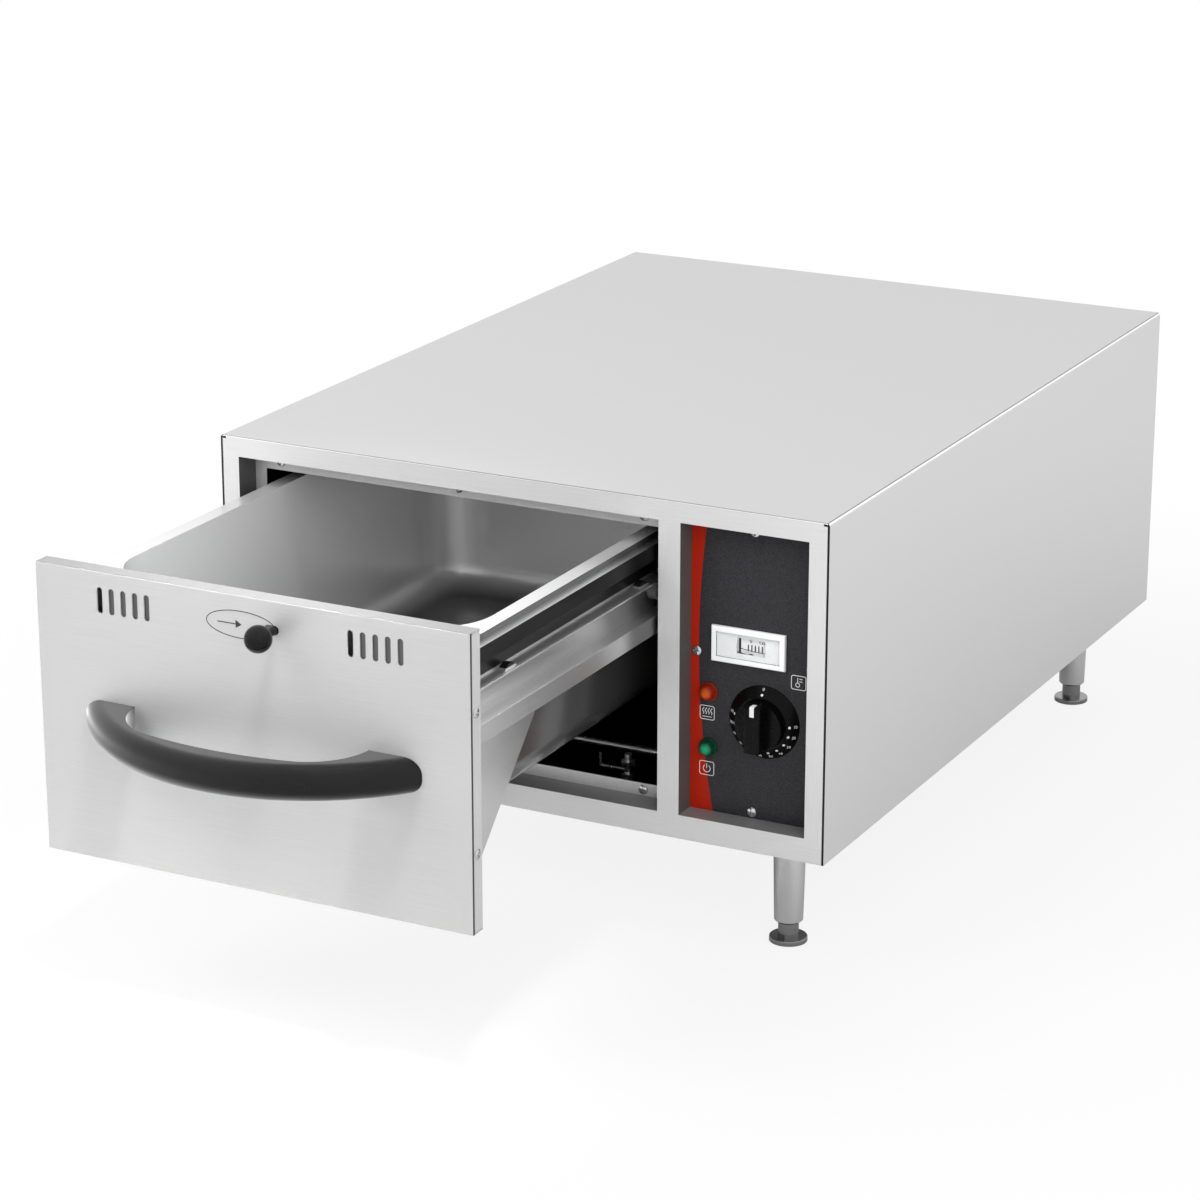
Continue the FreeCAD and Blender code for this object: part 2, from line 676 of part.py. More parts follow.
def leg(x, y):
    """Tapered leg with a stud through the base panel and a bore for its foot."""
    low = FOOT_DISC + FOOT_NECK
    tube = Part.makeCone(LEG_LOW_RADIUS, LEG_TOP_RADIUS, LEG_TUBE, point(x, y, low))
    chamfer = (LEG_LOW_RADIUS - FOOT_NECK_RADIUS) / 2
    tube = tube.makeChamfer(chamfer, [e for e in tube.Edges if e.BoundBox.ZMax < low + 1])
    stud = Part.makeCylinder(STUD_RADIUS, STUD_LENGTH, point(x, y, CAB_Z))
    depth = FOOT_STEM + FOOT_TRAVEL_UP + LEG_BORE_SPARE
    bore = Part.makeCylinder(FOOT_NECK_RADIUS + FOOT_PLAY, depth, point(x, y, low))
    return joined([tube, stud]).cut(bore)


def foot(x, y):
    """Levelling foot: a disc on a thick stem that screws up into the leg."""
    disc = Part.makeCylinder(FOOT_RADIUS, FOOT_DISC, point(x, y, 0))
    disc = disc.makeFillet(FOOT_DISC / 4, [e for e in disc.Edges if e.BoundBox.ZMin > FOOT_DISC / 2])
    stem = Part.makeCylinder(FOOT_NECK_RADIUS, FOOT_NECK + FOOT_STEM, point(x, y, FOOT_DISC))
    return joined([disc, stem])


def leg_nuts():
    """Hexagon nuts on the leg studs, inside the cabinet."""
    nuts = []
    z = CAB_Z + SKIN
    for x, y in LEGS.values():
        nut = hexagon(point(x, y, z), LEG_NUT, X_AXIS, Y_AXIS).extrude(Z_AXIS * LEG_NUT_HEIGHT)
        nuts.append(nut.cut(Part.makeCylinder(STUD_RADIUS + STUD_PLAY, LEG_NUT_HEIGHT, point(x, y, z))))
    return group(nuts)


# Roller slides


def fixed_rail(side):
    """Channel on the cavity wall, open towards the drawer, with the front roller's pin."""
    web = OPEN_X + side * FIXED_WEB
    wall = OPEN_X + side * LINER_HALF
    edge = OPEN_X + side * FIXED_EDGE
    low = ROLLER_Z - ROLLER_RADIUS - ROLLER_PLAY
    high = ROLLER_Z + ROLLER_RADIUS + ROLLER_LIFT
    y0 = FLANGE_BACK
    y1 = CAVITY_BACK
    tip = OPEN_X + side * (RAIL_WEB + ROLLER_PLAY)
    head_end = OPEN_X + side * (RAIL_WEB + ROLLER_PLAY + SKIN)
    return joined([
        box(web, wall, y0, y1, low - RAIL_SHEET, high + RAIL_SHEET),
        box(edge, web, y0, y1, low - RAIL_SHEET, low),
        box(edge, web, y0, y1, high, high + RAIL_SHEET),
        rod(PIN_RADIUS, point(web, FRONT_ROLLER_Y, ROLLER_Z), point(tip, FRONT_ROLLER_Y, ROLLER_Z)),
        rod(PIN_HEAD, point(head_end, FRONT_ROLLER_Y, ROLLER_Z), point(tip, FRONT_ROLLER_Y, ROLLER_Z)),
    ])


def drawer_rail(side):
    """Drawer side with an outward channel for the front roller, a hanging lip and the rear roller's pin."""
    inner = OPEN_X + side * (RAIL_WEB - RAIL_SHEET)
    web = OPEN_X + side * RAIL_WEB
    edge = OPEN_X + side * RAIL_OUT
    lip = OPEN_X + side * (RAIL_OUT - RAIL_SHEET)
    y0 = LINING_Y
    y1 = DRAWER_BACK
    tip = OPEN_X + side * (FIXED_WEB - ROLLER_PLAY)
    head_end = OPEN_X + side * (FIXED_WEB - ROLLER_PLAY - SKIN)
    under = LEDGE_Z - RAIL_SHEET
    rail = [
        box(inner, web, y0, y1, CHANNEL_LOW - RAIL_SHEET, under),
        box(web, edge, y0, y1, CHANNEL_TOP, RAIL_Z),
        box(web, edge, y0, y1, CHANNEL_LOW - RAIL_SHEET, CHANNEL_LOW),
        box(lip, edge, y0, y1, LIP_LOW, CHANNEL_LOW - RAIL_SHEET),
        rod(PIN_RADIUS, point(web, REAR_ROLLER_Y, ROLLER_Z), point(tip, REAR_ROLLER_Y, ROLLER_Z)),
        rod(PIN_HEAD, point(head_end, REAR_ROLLER_Y, ROLLER_Z), point(tip, REAR_ROLLER_Y, ROLLER_Z)),
    ]
    middle = OPEN_X + side * (RAIL_WEB + RAIL_FLANGE / 2)
    for share in CLIP_SHARES:
        rail.append(lance_clip(middle, y0 + share * DRAWER_LENGTH))
    return joined(rail)


def lance_clip(x, y):
    """Small bridge pressed up out of the rail's top flange."""
    width = RAIL_FLANGE / 2
    half = CLIP_LENGTH / 2
    top = RAIL_Z + CLIP_HEIGHT
    outer = Part.Wire([
        Part.Arc(point(x, y - half, RAIL_Z), point(x, y, top), point(x, y + half, RAIL_Z)).toShape(),
        Part.makeLine(point(x, y + half, RAIL_Z), point(x, y - half, RAIL_Z)),
    ])
    return Part.Face(outer).extrude(point(width, 0, 0)).translated(point(-width / 2, 0, 0))


def roller(x_inner, side, y):
    """Plain roller on its pin."""
    start = point(x_inner, y, ROLLER_Z)
    end = start + X_AXIS * (side * ROLLER_WIDTH)
    wheel = rod(ROLLER_RADIUS, start, end)
    wheel = wheel.makeFillet(ROLLER_RADIUS / 8, [e for e in wheel.Edges if e.Length > ROLLER_RADIUS * 2 * math.pi * 0.9
                                                 and len(e.Vertexes) == 1])
    return wheel.cut(rod(PIN_RADIUS + PIN_PLAY, start, end))


def front_roller(side):
    """Roller on the cabinet, under the drawer rail's top flange."""
    return roller(OPEN_X + side * (RAIL_WEB + 2 * ROLLER_PLAY + SKIN), side, FRONT_ROLLER_Y)


def rear_roller(side):
    """Roller on the drawer, running in the fixed rail."""
    return roller(OPEN_X + side * (FIXED_WEB - 2 * ROLLER_PLAY - SKIN - ROLLER_WIDTH), side, REAR_ROLLER_Y)


# Drawer


def pan_frame():
    """Ledge that carries the pan by its rim, with a skirt all round."""
    half = DRAWER_WIDTH / 2
    length = DRAWER_LENGTH
    y = LINING_Y + length / 2
    z = LEDGE_Z - RAIL_SHEET
    plate = box(OPEN_X - half, OPEN_X + half, LINING_Y, DRAWER_BACK, z, LEDGE_Z)
    low = LEDGE_Z - PAN_FRAME_SKIRT
    t = RAIL_SHEET
    skirts = [
        box(OPEN_X - half, OPEN_X - half + t, LINING_Y, DRAWER_BACK, low, z),
        box(OPEN_X + half - t, OPEN_X + half, LINING_Y, DRAWER_BACK, low, z),
        box(OPEN_X - RAIL_WEB + 2 * t, OPEN_X + RAIL_WEB - 2 * t, LINING_Y, LINING_Y + t, low, z),
        box(OPEN_X - RAIL_WEB + 2 * t, OPEN_X + RAIL_WEB - 2 * t, DRAWER_BACK - t, DRAWER_BACK, low, z),
    ]
    grow = 2 * (PAN_WALL + PAN_DROP_GAP - PAN_RIM)
    hole = rounded_rectangle(OPEN_X, y, z, PAN_WIDTH + grow, PAN_LENGTH + grow, PAN_CORNER)
    hole = Part.Face(hole).extrude(point(0, 0, t))
    return joined([plate.cut(hole)] + skirts)


def pan_bowl(grow, depth):
    """Tapered bowl with round corners and a round floor edge, larger than the inside by grow."""
    y = LINING_Y + END_LEDGE + PAN_LENGTH / 2
    width = PAN_WIDTH - 2 * PAN_RIM + 2 * grow
    length = PAN_LENGTH - 2 * PAN_RIM + 2 * grow
    corner = PAN_CORNER - PAN_WALL + grow
    low = RIM_Z - depth
    bowl = Part.makeLoft([
        rounded_rectangle(OPEN_X, y, RIM_Z, width, length, corner),
        rounded_rectangle(
            OPEN_X, y, low, width - 2 * PAN_TAPER, length - 2 * PAN_TAPER, corner - PAN_TAPER
        ),
    ], True, True)
    return round_edges(bowl, PAN_FLOOR_ROUND + grow, lambda e: e.BoundBox.ZMax < low + 0.1)


def food_pan():
    """Deep food pan hung by its rim, with the rim's edge turned down onto the ledge."""
    y = LINING_Y + END_LEDGE + PAN_LENGTH / 2
    rim_z = RIM_Z - PAN_WALL
    rim = Part.Face(rounded_rectangle(OPEN_X, y, rim_z, PAN_WIDTH, PAN_LENGTH, PAN_RIM_CORNER))
    rim = rim.extrude(point(0, 0, PAN_WALL))
    outer = Part.Face(rounded_rectangle(OPEN_X, y, LEDGE_Z, PAN_WIDTH, PAN_LENGTH, PAN_RIM_CORNER))
    inner_corner = PAN_RIM_CORNER - PAN_WALL
    inner = Part.Face(rounded_rectangle(
        OPEN_X, y, LEDGE_Z, PAN_WIDTH - 2 * PAN_WALL, PAN_LENGTH - 2 * PAN_WALL, inner_corner
    ))
    drop = point(0, 0, PAN_LIP - PAN_WALL)
    lip = outer.extrude(drop).cut(inner.extrude(drop))
    bowl = pan_bowl(PAN_WALL, PAN_DEPTH)
    hollow = pan_bowl(0.0, PAN_DEPTH - PAN_WALL)
    return joined([rim, lip, bowl]).cut(hollow)


def drawer_front():
    """Outer drawer front with bent top and bottom edges, nested side edges and vent slots."""
    left = OPEN_X - FRONT_HALF
    right = OPEN_X + FRONT_HALF
    back = LINING_Y
    nest = SKIN + FIT
    deep = LINING_Y - SKIN - SEAM
    sheet = joined([
        box(left, right, FRONT_Y, FRONT_Y + SKIN, FRONT_LOW, FRONT_TOP),
        box(left, right, FRONT_Y, back, FRONT_TOP - SKIN, FRONT_TOP),
        box(left, right, FRONT_Y, back, FRONT_LOW, FRONT_LOW + SKIN),
        box(left + nest, left + nest + SKIN, FRONT_Y, deep, FRONT_LOW, FRONT_TOP),
        box(right - nest - SKIN, right - nest, FRONT_Y, deep, FRONT_LOW, FRONT_TOP),
    ])
    sheet = round_edges(
        sheet, SKIN * 0.8,
        lambda e: e.BoundBox.YMax < FRONT_Y + 0.01 and e.BoundBox.XLength > FRONT_HALF,
    )
    cuts = vent_slots(FRONT_Y, FRONT_Y + SKIN, 0.0)
    x = OPEN_X + VENT_KNOB_X - VENT_TRAVEL / 2
    stem_slot = 2 * (STEM_RADIUS + STEM_PLAY)
    cuts.append(slot_hole(x, VENT_Z, stem_slot + VENT_TRAVEL, stem_slot, FRONT_Y - SKIN, FRONT_Y + 2 * SKIN))
    for seat in handle_bolt_seats():
        cuts.append(Part.makeCylinder(BOLT_RADIUS + BOLT_PLAY, 3 * SKIN, seat + Y_AXIS * SKIN, Y_AXIS * -1))
    cuts += [screw_hole(seat, outward) for seat, outward in side_screw_seats()]
    return sheet.cut(cuts)


def vent_slots(y0, y1, shift):
    """Two rows of upright vent slots."""
    slots = []
    for side in SIDES.values():
        for i in range(SLOT_COUNT):
            x = OPEN_X + side * SLOT_GROUP + (i - (SLOT_COUNT - 1) / 2) * SLOT_PITCH + shift
            slots.append(slot_hole(x, VENT_Z, SLOT_WIDTH, SLOT_LENGTH, y0 - SKIN, y1 + SKIN))
    return slots


def side_screw_seats():
    """Places of the screws on both edges of the drawer front."""
    seats = []
    y = FRONT_Y + FRONT_THICK / 2
    for side in SIDES.values():
        for dz in (-SIDE_SCREW_SPACING / 2, SIDE_SCREW_SPACING / 2):
            seats.append((point(OPEN_X + side * FRONT_HALF, y, FRONT_Z + dz), X_AXIS * side))
    return seats


def drawer_front_lining():
    """Rear sheet of the drawer front, with side edges that come forward to the outer sheet."""
    left = OPEN_X - FRONT_HALF
    right = OPEN_X + FRONT_HALF
    low = FRONT_LOW + SKIN + FIT
    high = FRONT_TOP - SKIN - FIT
    edge = FRONT_Y + SKIN + SEAM
    lining = joined([
        box(left, right, LINING_Y - SKIN, LINING_Y, low, high),
        box(left, left + SKIN, edge, LINING_Y, low, high),
        box(right - SKIN, right, edge, LINING_Y, low, high),
    ])
    wide = SLOT_COUNT * SLOT_PITCH
    cuts = [screw_hole(seat, outward) for seat, outward in side_screw_seats()]
    for side in SIDES.values():
        x = OPEN_X + side * SLOT_GROUP
        tall = SLOT_LENGTH / 2
        cuts.append(box(x - wide / 2, x + wide / 2, LINING_Y - 2 * SKIN, LINING_Y + SKIN, VENT_Z - tall, VENT_Z + tall))
    return lining.cut(cuts)


def drawer_gusset(side):
    """Three-cornered bracket between the drawer rail's lip and the drawer front."""
    face = OPEN_X + side * (RAIL_OUT - RAIL_SHEET)
    back = OPEN_X + side * (RAIL_OUT - 2 * RAIL_SHEET)
    tab = OPEN_X + side * (RAIL_OUT - 2 * RAIL_SHEET - RAIL_FLANGE)
    high = CHANNEL_LOW - RAIL_SHEET
    low = LIP_LOW - GUSSET_DROP
    corner = FRONT_THICK
    outline = Part.makePolygon([
        point(face, LINING_Y, high),
        point(face, LINING_Y + GUSSET_LONG + corner, high),
        point(face, LINING_Y + GUSSET_LONG + corner, LIP_LOW),
        point(face, LINING_Y + corner, low),
        point(face, LINING_Y, low),
        point(face, LINING_Y, high),
    ])
    plate = Part.Face(outline).extrude(point(back - face, 0, 0))
    return joined([plate, box(tab, back, LINING_Y, LINING_Y + RAIL_SHEET, low, high)])


def handle_bolt_seats():
    """Places where the handle's feet stand on the drawer front."""
    reach = (HANDLE_SPAN + GRIP_SPAN) / 4
    return [point(OPEN_X + side * reach, FRONT_Y, FRONT_Z) for side in SIDES.values()]


def drawer_handle():
    """Bow handle: a round outer sweep, a squarer finger gap and two broad feet."""
    half = HANDLE_SPAN / 2
    gap = GRIP_SPAN / 2
    low = FRONT_Z - HANDLE_HEIGHT / 2

    def at(u, v):
        return point(OPEN_X + u, FRONT_Y - v, low)

    shoulder = (gap * 0.64, GRIP_DEPTH * 0.86)
    bend = (gap * 0.9, GRIP_DEPTH * 0.52)
    outline = Part.Wire([
        Part.Arc(at(-half, 0), at(0, HANDLE_OUT), at(half, 0)).toShape(),
        Part.makeLine(at(half, 0), at(gap, 0)),
        Part.Arc(at(gap, 0), at(*bend), at(*shoulder)).toShape(),
        Part.Arc(at(*shoulder), at(0, GRIP_DEPTH), at(-shoulder[0], shoulder[1])).toShape(),
        Part.Arc(at(-shoulder[0], shoulder[1]), at(-bend[0], bend[1]), at(-gap, 0)).toShape(),
        Part.makeLine(at(-gap, 0), at(-half, 0)),
    ])
    bow = Part.Face(outline).extrude(point(0, 0, HANDLE_HEIGHT))
    reach = FRONT_Y - HANDLE_OUT + 0.1
    bow = round_edges(bow, HANDLE_ROUND, lambda e: e.BoundBox.YMin < reach and e.BoundBox.XLength > gap)
    holes = [rod(BOLT_RADIUS + BOLT_PLAY, s, s - Y_AXIS * HANDLE_HEIGHT / 2) for s in handle_bolt_seats()]
    return bow.cut(holes)


def handle_bolts():
    """Bolts from inside the drawer front into the handle's feet."""
    bolts = []
    for seat in handle_bolt_seats():
        inside = seat + Y_AXIS * SKIN
        head = Part.makeCylinder(BOLT_HEAD, BOLT_HEAD, inside, Y_AXIS)
        shank = rod(BOLT_RADIUS, inside, seat - Y_AXIS * (HANDLE_HEIGHT / 2 - SKIN))
        bolts.append(joined([head, shank]))
    return group(bolts)


def vent_plate():
    """Sliding plate behind the drawer front, closed at rest but for the first slot of each row."""
    half = SLOT_GROUP + (SLOT_COUNT / 2 + 1) * SLOT_PITCH
    tall = SLOT_LENGTH / 2 + VENT_EDGE
    back = VENT_Y + VENT_SHEET
    plate = box(OPEN_X - half, OPEN_X + half, VENT_Y, back, VENT_Z - tall, VENT_Z + tall)
    cuts = vent_slots(VENT_Y, back, VENT_TRAVEL)
    for side in SIDES.values():
        x = OPEN_X + side * SLOT_GROUP - (SLOT_COUNT - 1) / 2 * SLOT_PITCH + VENT_TRAVEL / 2
        wide = SLOT_WIDTH + VENT_TRAVEL
        cuts.append(slot_hole(x, VENT_Z, wide, SLOT_LENGTH + VENT_TRAVEL, VENT_Y - SKIN, back + SKIN))
    return plate.cut(cuts)


def vent_knob():
    """Ball knob on a stem that stands on the sliding plate."""
    x = OPEN_X + VENT_KNOB_X
    ball = Part.makeSphere(BALL_RADIUS, point(x, FRONT_Y - BALL_OUT, VENT_Z))
    stem = rod(STEM_RADIUS, point(x, VENT_Y, VENT_Z), point(x, FRONT_Y - BALL_OUT, VENT_Z))
    return joined([ball, stem])


def vent_guides():
    """Two angle strips that hold the sliding plate against the drawer front."""
    half = SLOT_GROUP + (SLOT_COUNT / 2 + 2) * SLOT_PITCH
    tall = SLOT_LENGTH / 2 + VENT_EDGE
    back = VENT_Y + VENT_SHEET + FIT
    strips = []
    for side in (-1, 1):
        rest = VENT_Z + side * (tall + FIT)
        edge = rest + side * VENT_EDGE / 2
        lap = rest - side * VENT_EDGE / 2
        bar = box(OPEN_X - half, OPEN_X + half, FRONT_Y + SKIN, back, min(rest, edge), max(rest, edge))
        lip = box(OPEN_X - half, OPEN_X + half, back, back + VENT_SHEET, min(lap, edge), max(lap, edge))
        strips.append(joined([bar, lip]))
    return group(strips)


# Controls


def control_panel():
    """Dark control plate, seated on the flanges of its recess."""
    play = FIT
    plate = box(
        CONTROL_LEFT + play, CONTROL_RIGHT - play, RECESS_DEPTH, PANEL_BACK, OPEN_Z + play, OPEN_TOP - play
    )
    y0 = RECESS_DEPTH - PANEL_THICK
    y1 = PANEL_BACK + PANEL_THICK
    cuts = [screw_hole(s, Y_AXIS * -1) for s in control_screw_seats()]
    cuts.append(rod(SHAFT_RADIUS + STEM_PLAY, point(KNOB_X, y0, KNOB_Z), point(KNOB_X, y1, KNOB_Z)))
    for z in LAMPS.values():
        cuts.append(rod(LAMP_DIAMETER / 3 + STUD_PLAY, point(LAMP_X, y0, z), point(LAMP_X, y1, z)))
    half = GAUGE_WIDTH / 2 - GAUGE_BORDER / 2
    tall = GAUGE_HEIGHT / 2 - GAUGE_BORDER / 2
    cuts.append(box(GAUGE_X - half, GAUGE_X + half, y0, y1, GAUGE_Z - tall, GAUGE_Z + tall))
    return plate.cut(cuts)


def dial_ring():
    """Fixed sloping ring for the temperature scale, round the thermostat knob."""
    radius = RING_DIAMETER / 2
    axis = Y_AXIS * -1
    ring = Part.makeCone(radius, radius - RING_SLOPE, RING_HEIGHT, point(KNOB_X, RECESS_DEPTH, KNOB_Z), axis)
    hole = Part.makeCylinder(radius - RING_BAND, RING_HEIGHT, point(KNOB_X, RECESS_DEPTH, KNOB_Z), axis)
    return ring.cut(hole)


def thermostat_knob():
    """Round knob with a raised grip bar across it."""
    radius = RING_DIAMETER / 2 - RING_BAND - KNOB_PLAY
    back = RECESS_DEPTH - KNOB_PLAY
    front = RECESS_DEPTH - KNOB_HEIGHT
    axis = Y_AXIS * -1
    base = Part.makeCylinder(radius, KNOB_BASE, point(KNOB_X, back, KNOB_Z), axis)
    post = Part.makeCylinder(radius, back - front, point(KNOB_X, back, KNOB_Z), axis)
    bar = box(KNOB_X - KNOB_BAR / 2, KNOB_X + KNOB_BAR / 2, front, back, KNOB_Z - radius, KNOB_Z + radius)
    knob = joined([base, post.common(bar)])
    knob = round_edges(knob, KNOB_BAR / 12, lambda e: e.BoundBox.YMax < front + 0.1)
    return knob.cut(rod(SHAFT_RADIUS, point(KNOB_X, back, KNOB_Z), point(KNOB_X, front + KNOB_BASE, KNOB_Z)))


def thermostat_shaft():
    """Shaft from the thermostat through the panel into the knob."""
    end = RECESS_DEPTH - KNOB_HEIGHT + KNOB_BASE
    inside = PANEL_BACK + THERMOSTAT_DEEP / 3
    return rod(SHAFT_RADIUS, point(KNOB_X, inside, KNOB_Z), point(KNOB_X, end, KNOB_Z))


def thermostat_body():
    """Thermostat housing on the back of the control plate."""
    half = THERMOSTAT_SIZE / 2
    body = box(
        KNOB_X - half, KNOB_X + half, PANEL_BACK, PANEL_BACK + THERMOSTAT_DEEP, KNOB_Z - half, KNOB_Z + half
    )
    inside = PANEL_BACK + THERMOSTAT_DEEP / 3
    bore = rod(SHAFT_RADIUS + SHAFT_PLAY, point(KNOB_X, PANEL_BACK, KNOB_Z), point(KNOB_X, inside, KNOB_Z))
    return body.cut(bore)


def gauge_case():
    """White gauge housing: a border in front of the panel and a box behind it."""
    front = RECESS_DEPTH - GAUGE_OUT
    half = GAUGE_WIDTH / 2
    tall = GAUGE_HEIGHT / 2
    b = GAUGE_BORDER
    bezel = box(GAUGE_X - half, GAUGE_X + half, front, RECESS_DEPTH, GAUGE_Z - tall, GAUGE_Z + tall)
    bezel = round_edges(bezel, b / 4, lambda e: e.BoundBox.YMax < front + 0.1)
    inner = half - b / 2 - STUD_PLAY
    inner_tall = tall - b / 2 - STUD_PLAY
    back = PANEL_BACK + GAUGE_BODY
    body = box(
        GAUGE_X - inner, GAUGE_X + inner, RECESS_DEPTH, back, GAUGE_Z - inner_tall, GAUGE_Z + inner_tall
    )
    room = box(
        GAUGE_X - half + b, GAUGE_X + half - b, front, RECESS_DEPTH + GAUGE_DEEP + LINER,
        GAUGE_Z - tall + b, GAUGE_Z + tall - b,
    )
    pivot = gauge_pivot()
    deep = PANEL_THICK + LINER + GAUGE_BORDER
    return joined([bezel, body]).cut([room, rod(NEEDLE_PIN + SHAFT_PLAY, pivot, pivot + Y_AXIS * deep)])


def gauge_plate(y0, thick, play):
    """Flat sheet that fills the gauge's window."""
    half = GAUGE_WIDTH / 2 - GAUGE_BORDER - play
    tall = GAUGE_HEIGHT / 2 - GAUGE_BORDER - play
    return box(GAUGE_X - half, GAUGE_X + half, y0, y0 + thick, GAUGE_Z - tall, GAUGE_Z + tall)


def gauge_dial():
    """Printed dial sheet at the bottom of the gauge."""
    pivot = gauge_pivot()
    hole = rod(NEEDLE_PIN + STEM_PLAY, pivot, pivot + Y_AXIS * 2 * GAUGE_DEEP)
    return gauge_plate(RECESS_DEPTH + GAUGE_DEEP, LINER, 0.0).cut(hole)


def gauge_window():
    """Clear sheet over the gauge's dial."""
    return gauge_plate(RECESS_DEPTH - GAUGE_OUT + LINER, LINER, 0.0)


def gauge_pivot():
    """Front end of the needle's pin."""
    low = GAUGE_Z - GAUGE_HEIGHT / 2 + GAUGE_BORDER
    return point(GAUGE_X, RECESS_DEPTH + GAUGE_DEEP - 2 * LINER, low + NEEDLE_HUB + STUD_PLAY)


def gauge_needle():
    """Thin needle on a pin through the dial."""
    pivot = gauge_pivot()
    pin = rod(NEEDLE_PIN, pivot, pivot + Y_AXIS * (PANEL_THICK + LINER + GAUGE_BORDER * 0.8))
    hub = rod(NEEDLE_HUB, pivot, pivot + Y_AXIS * LINER)
    reach = GAUGE_HEIGHT - 2 * GAUGE_BORDER - 2 * NEEDLE_HUB
    half = NEEDLE_WIDTH / 2
    blade = box(pivot.x - half, pivot.x + half, pivot.y, pivot.y + LINER / 2, pivot.z, pivot.z + reach)
    needle = joined([pin, hub, blade])
    needle.rotate(pivot, Y_AXIS, -NEEDLE_REST)
    return needle


def lamp(z):
    """Coloured signal lamp: a flange on the panel, a dome in front and a holder behind."""
    radius = LAMP_DIAMETER / 2
    axis = Y_AXIS * -1
    seat = point(LAMP_X, RECESS_DEPTH, z)
    flange = Part.makeCylinder(radius, LAMP_DIAMETER / 8, seat, axis)
    flange = round_edges(flange, LAMP_DIAMETER / 20, lambda e: e.BoundBox.YMax < RECESS_DEPTH - 1)
    dome = Part.makeSphere(radius * LENS_SHARE, seat + axis * (LAMP_DIAMETER / 8))
    front_only = box(
        LAMP_X - radius, LAMP_X + radius, RECESS_DEPTH - LAMP_DIAMETER, RECESS_DEPTH, z - radius, z + radius
    )
    tail = rod(LAMP_DIAMETER / 3, seat, seat + Y_AXIS * (PANEL_THICK + LAMP_DIAMETER))
    return joined([flange, dome.common(front_only), tail])


def panel_screws():
    return group([pan_head_screw(s, Y_AXIS * -1) for s in control_screw_seats()])


def flange_screws():
    return group([pan_head_screw(s, Y_AXIS * -1) for s in flange_screw_seats()])


def back_screws():
    return group([pan_head_screw(s, Y_AXIS) for s in back_screw_seats()])


def front_side_screws():
    return group([pan_head_screw(seat, outward) for seat, outward in side_screw_seats()])


def terminal_block():
    """Block on the base panel where the cord and the wires meet."""
    y = CAB_DEPTH - 2 * GLAND_INSET
    half = BLOCK_LENGTH / 2
    wide = BLOCK_WIDTH / 2
    low = CAB_Z + SKIN
    high = low + BLOCK_HEIGHT
    block = box(GLAND_X - half, GLAND_X + half, y - wide, y + wide, low, high)
    pitch = BLOCK_LENGTH / BLOCK_POLES
    holes = []
    for i in range(BLOCK_POLES):
        x = GLAND_X - half + (i + 0.5) * pitch
        holes.append(rod(BLOCK_HOLE, point(x, y, high - wide), point(x, y, high)))
    return block.cut(holes)


def wiring_loom():
    """Bundle of wires from the terminal block to the back of the thermostat."""
    x = KNOB_X - THERMOSTAT_SIZE / 4
    y0 = PANEL_BACK + THERMOSTAT_DEEP
    y1 = CAB_DEPTH - 2 * GLAND_INSET - BLOCK_WIDTH / 2
    z = CAB_Z + SKIN + BLOCK_HEIGHT / 2
    corners = [
        point(x, y0, KNOB_Z),
        point(x, y0 + THERMOSTAT_DEEP, KNOB_Z),
        point(x, y0 + THERMOSTAT_DEEP, z),
        point(x, y1, z),
    ]
    pieces = [rod(LOOM_RADIUS, a, b) for a, b in zip(corners, corners[1:])]
    pieces += [Part.makeSphere(LOOM_RADIUS, c) for c in corners[1:-1]]
    return joined(pieces)


def cable_gland():
    """Cord gland through the back panel, with a nut on each side."""
    outside = point(GLAND_X, CAB_DEPTH, GLAND_Z)
    inside = point(GLAND_X, CAB_DEPTH - SKIN, GLAND_Z)
    dome = Part.makeCone(GLAND_NUT, GLAND_RADIUS, GLAND_OUT, outside, Y_AXIS)
    barrel = Part.makeCylinder(GLAND_RADIUS, SKIN, inside, Y_AXIS)
    nut = Part.makeCylinder(GLAND_NUT, GLAND_BORE, inside, Y_AXIS * -1)
    bore = rod(GLAND_BORE, inside - Y_AXIS * 2 * GLAND_BORE, outside + Y_AXIS * 2 * GLAND_OUT)
    return joined([dome, barrel, nut]).cut(bore)


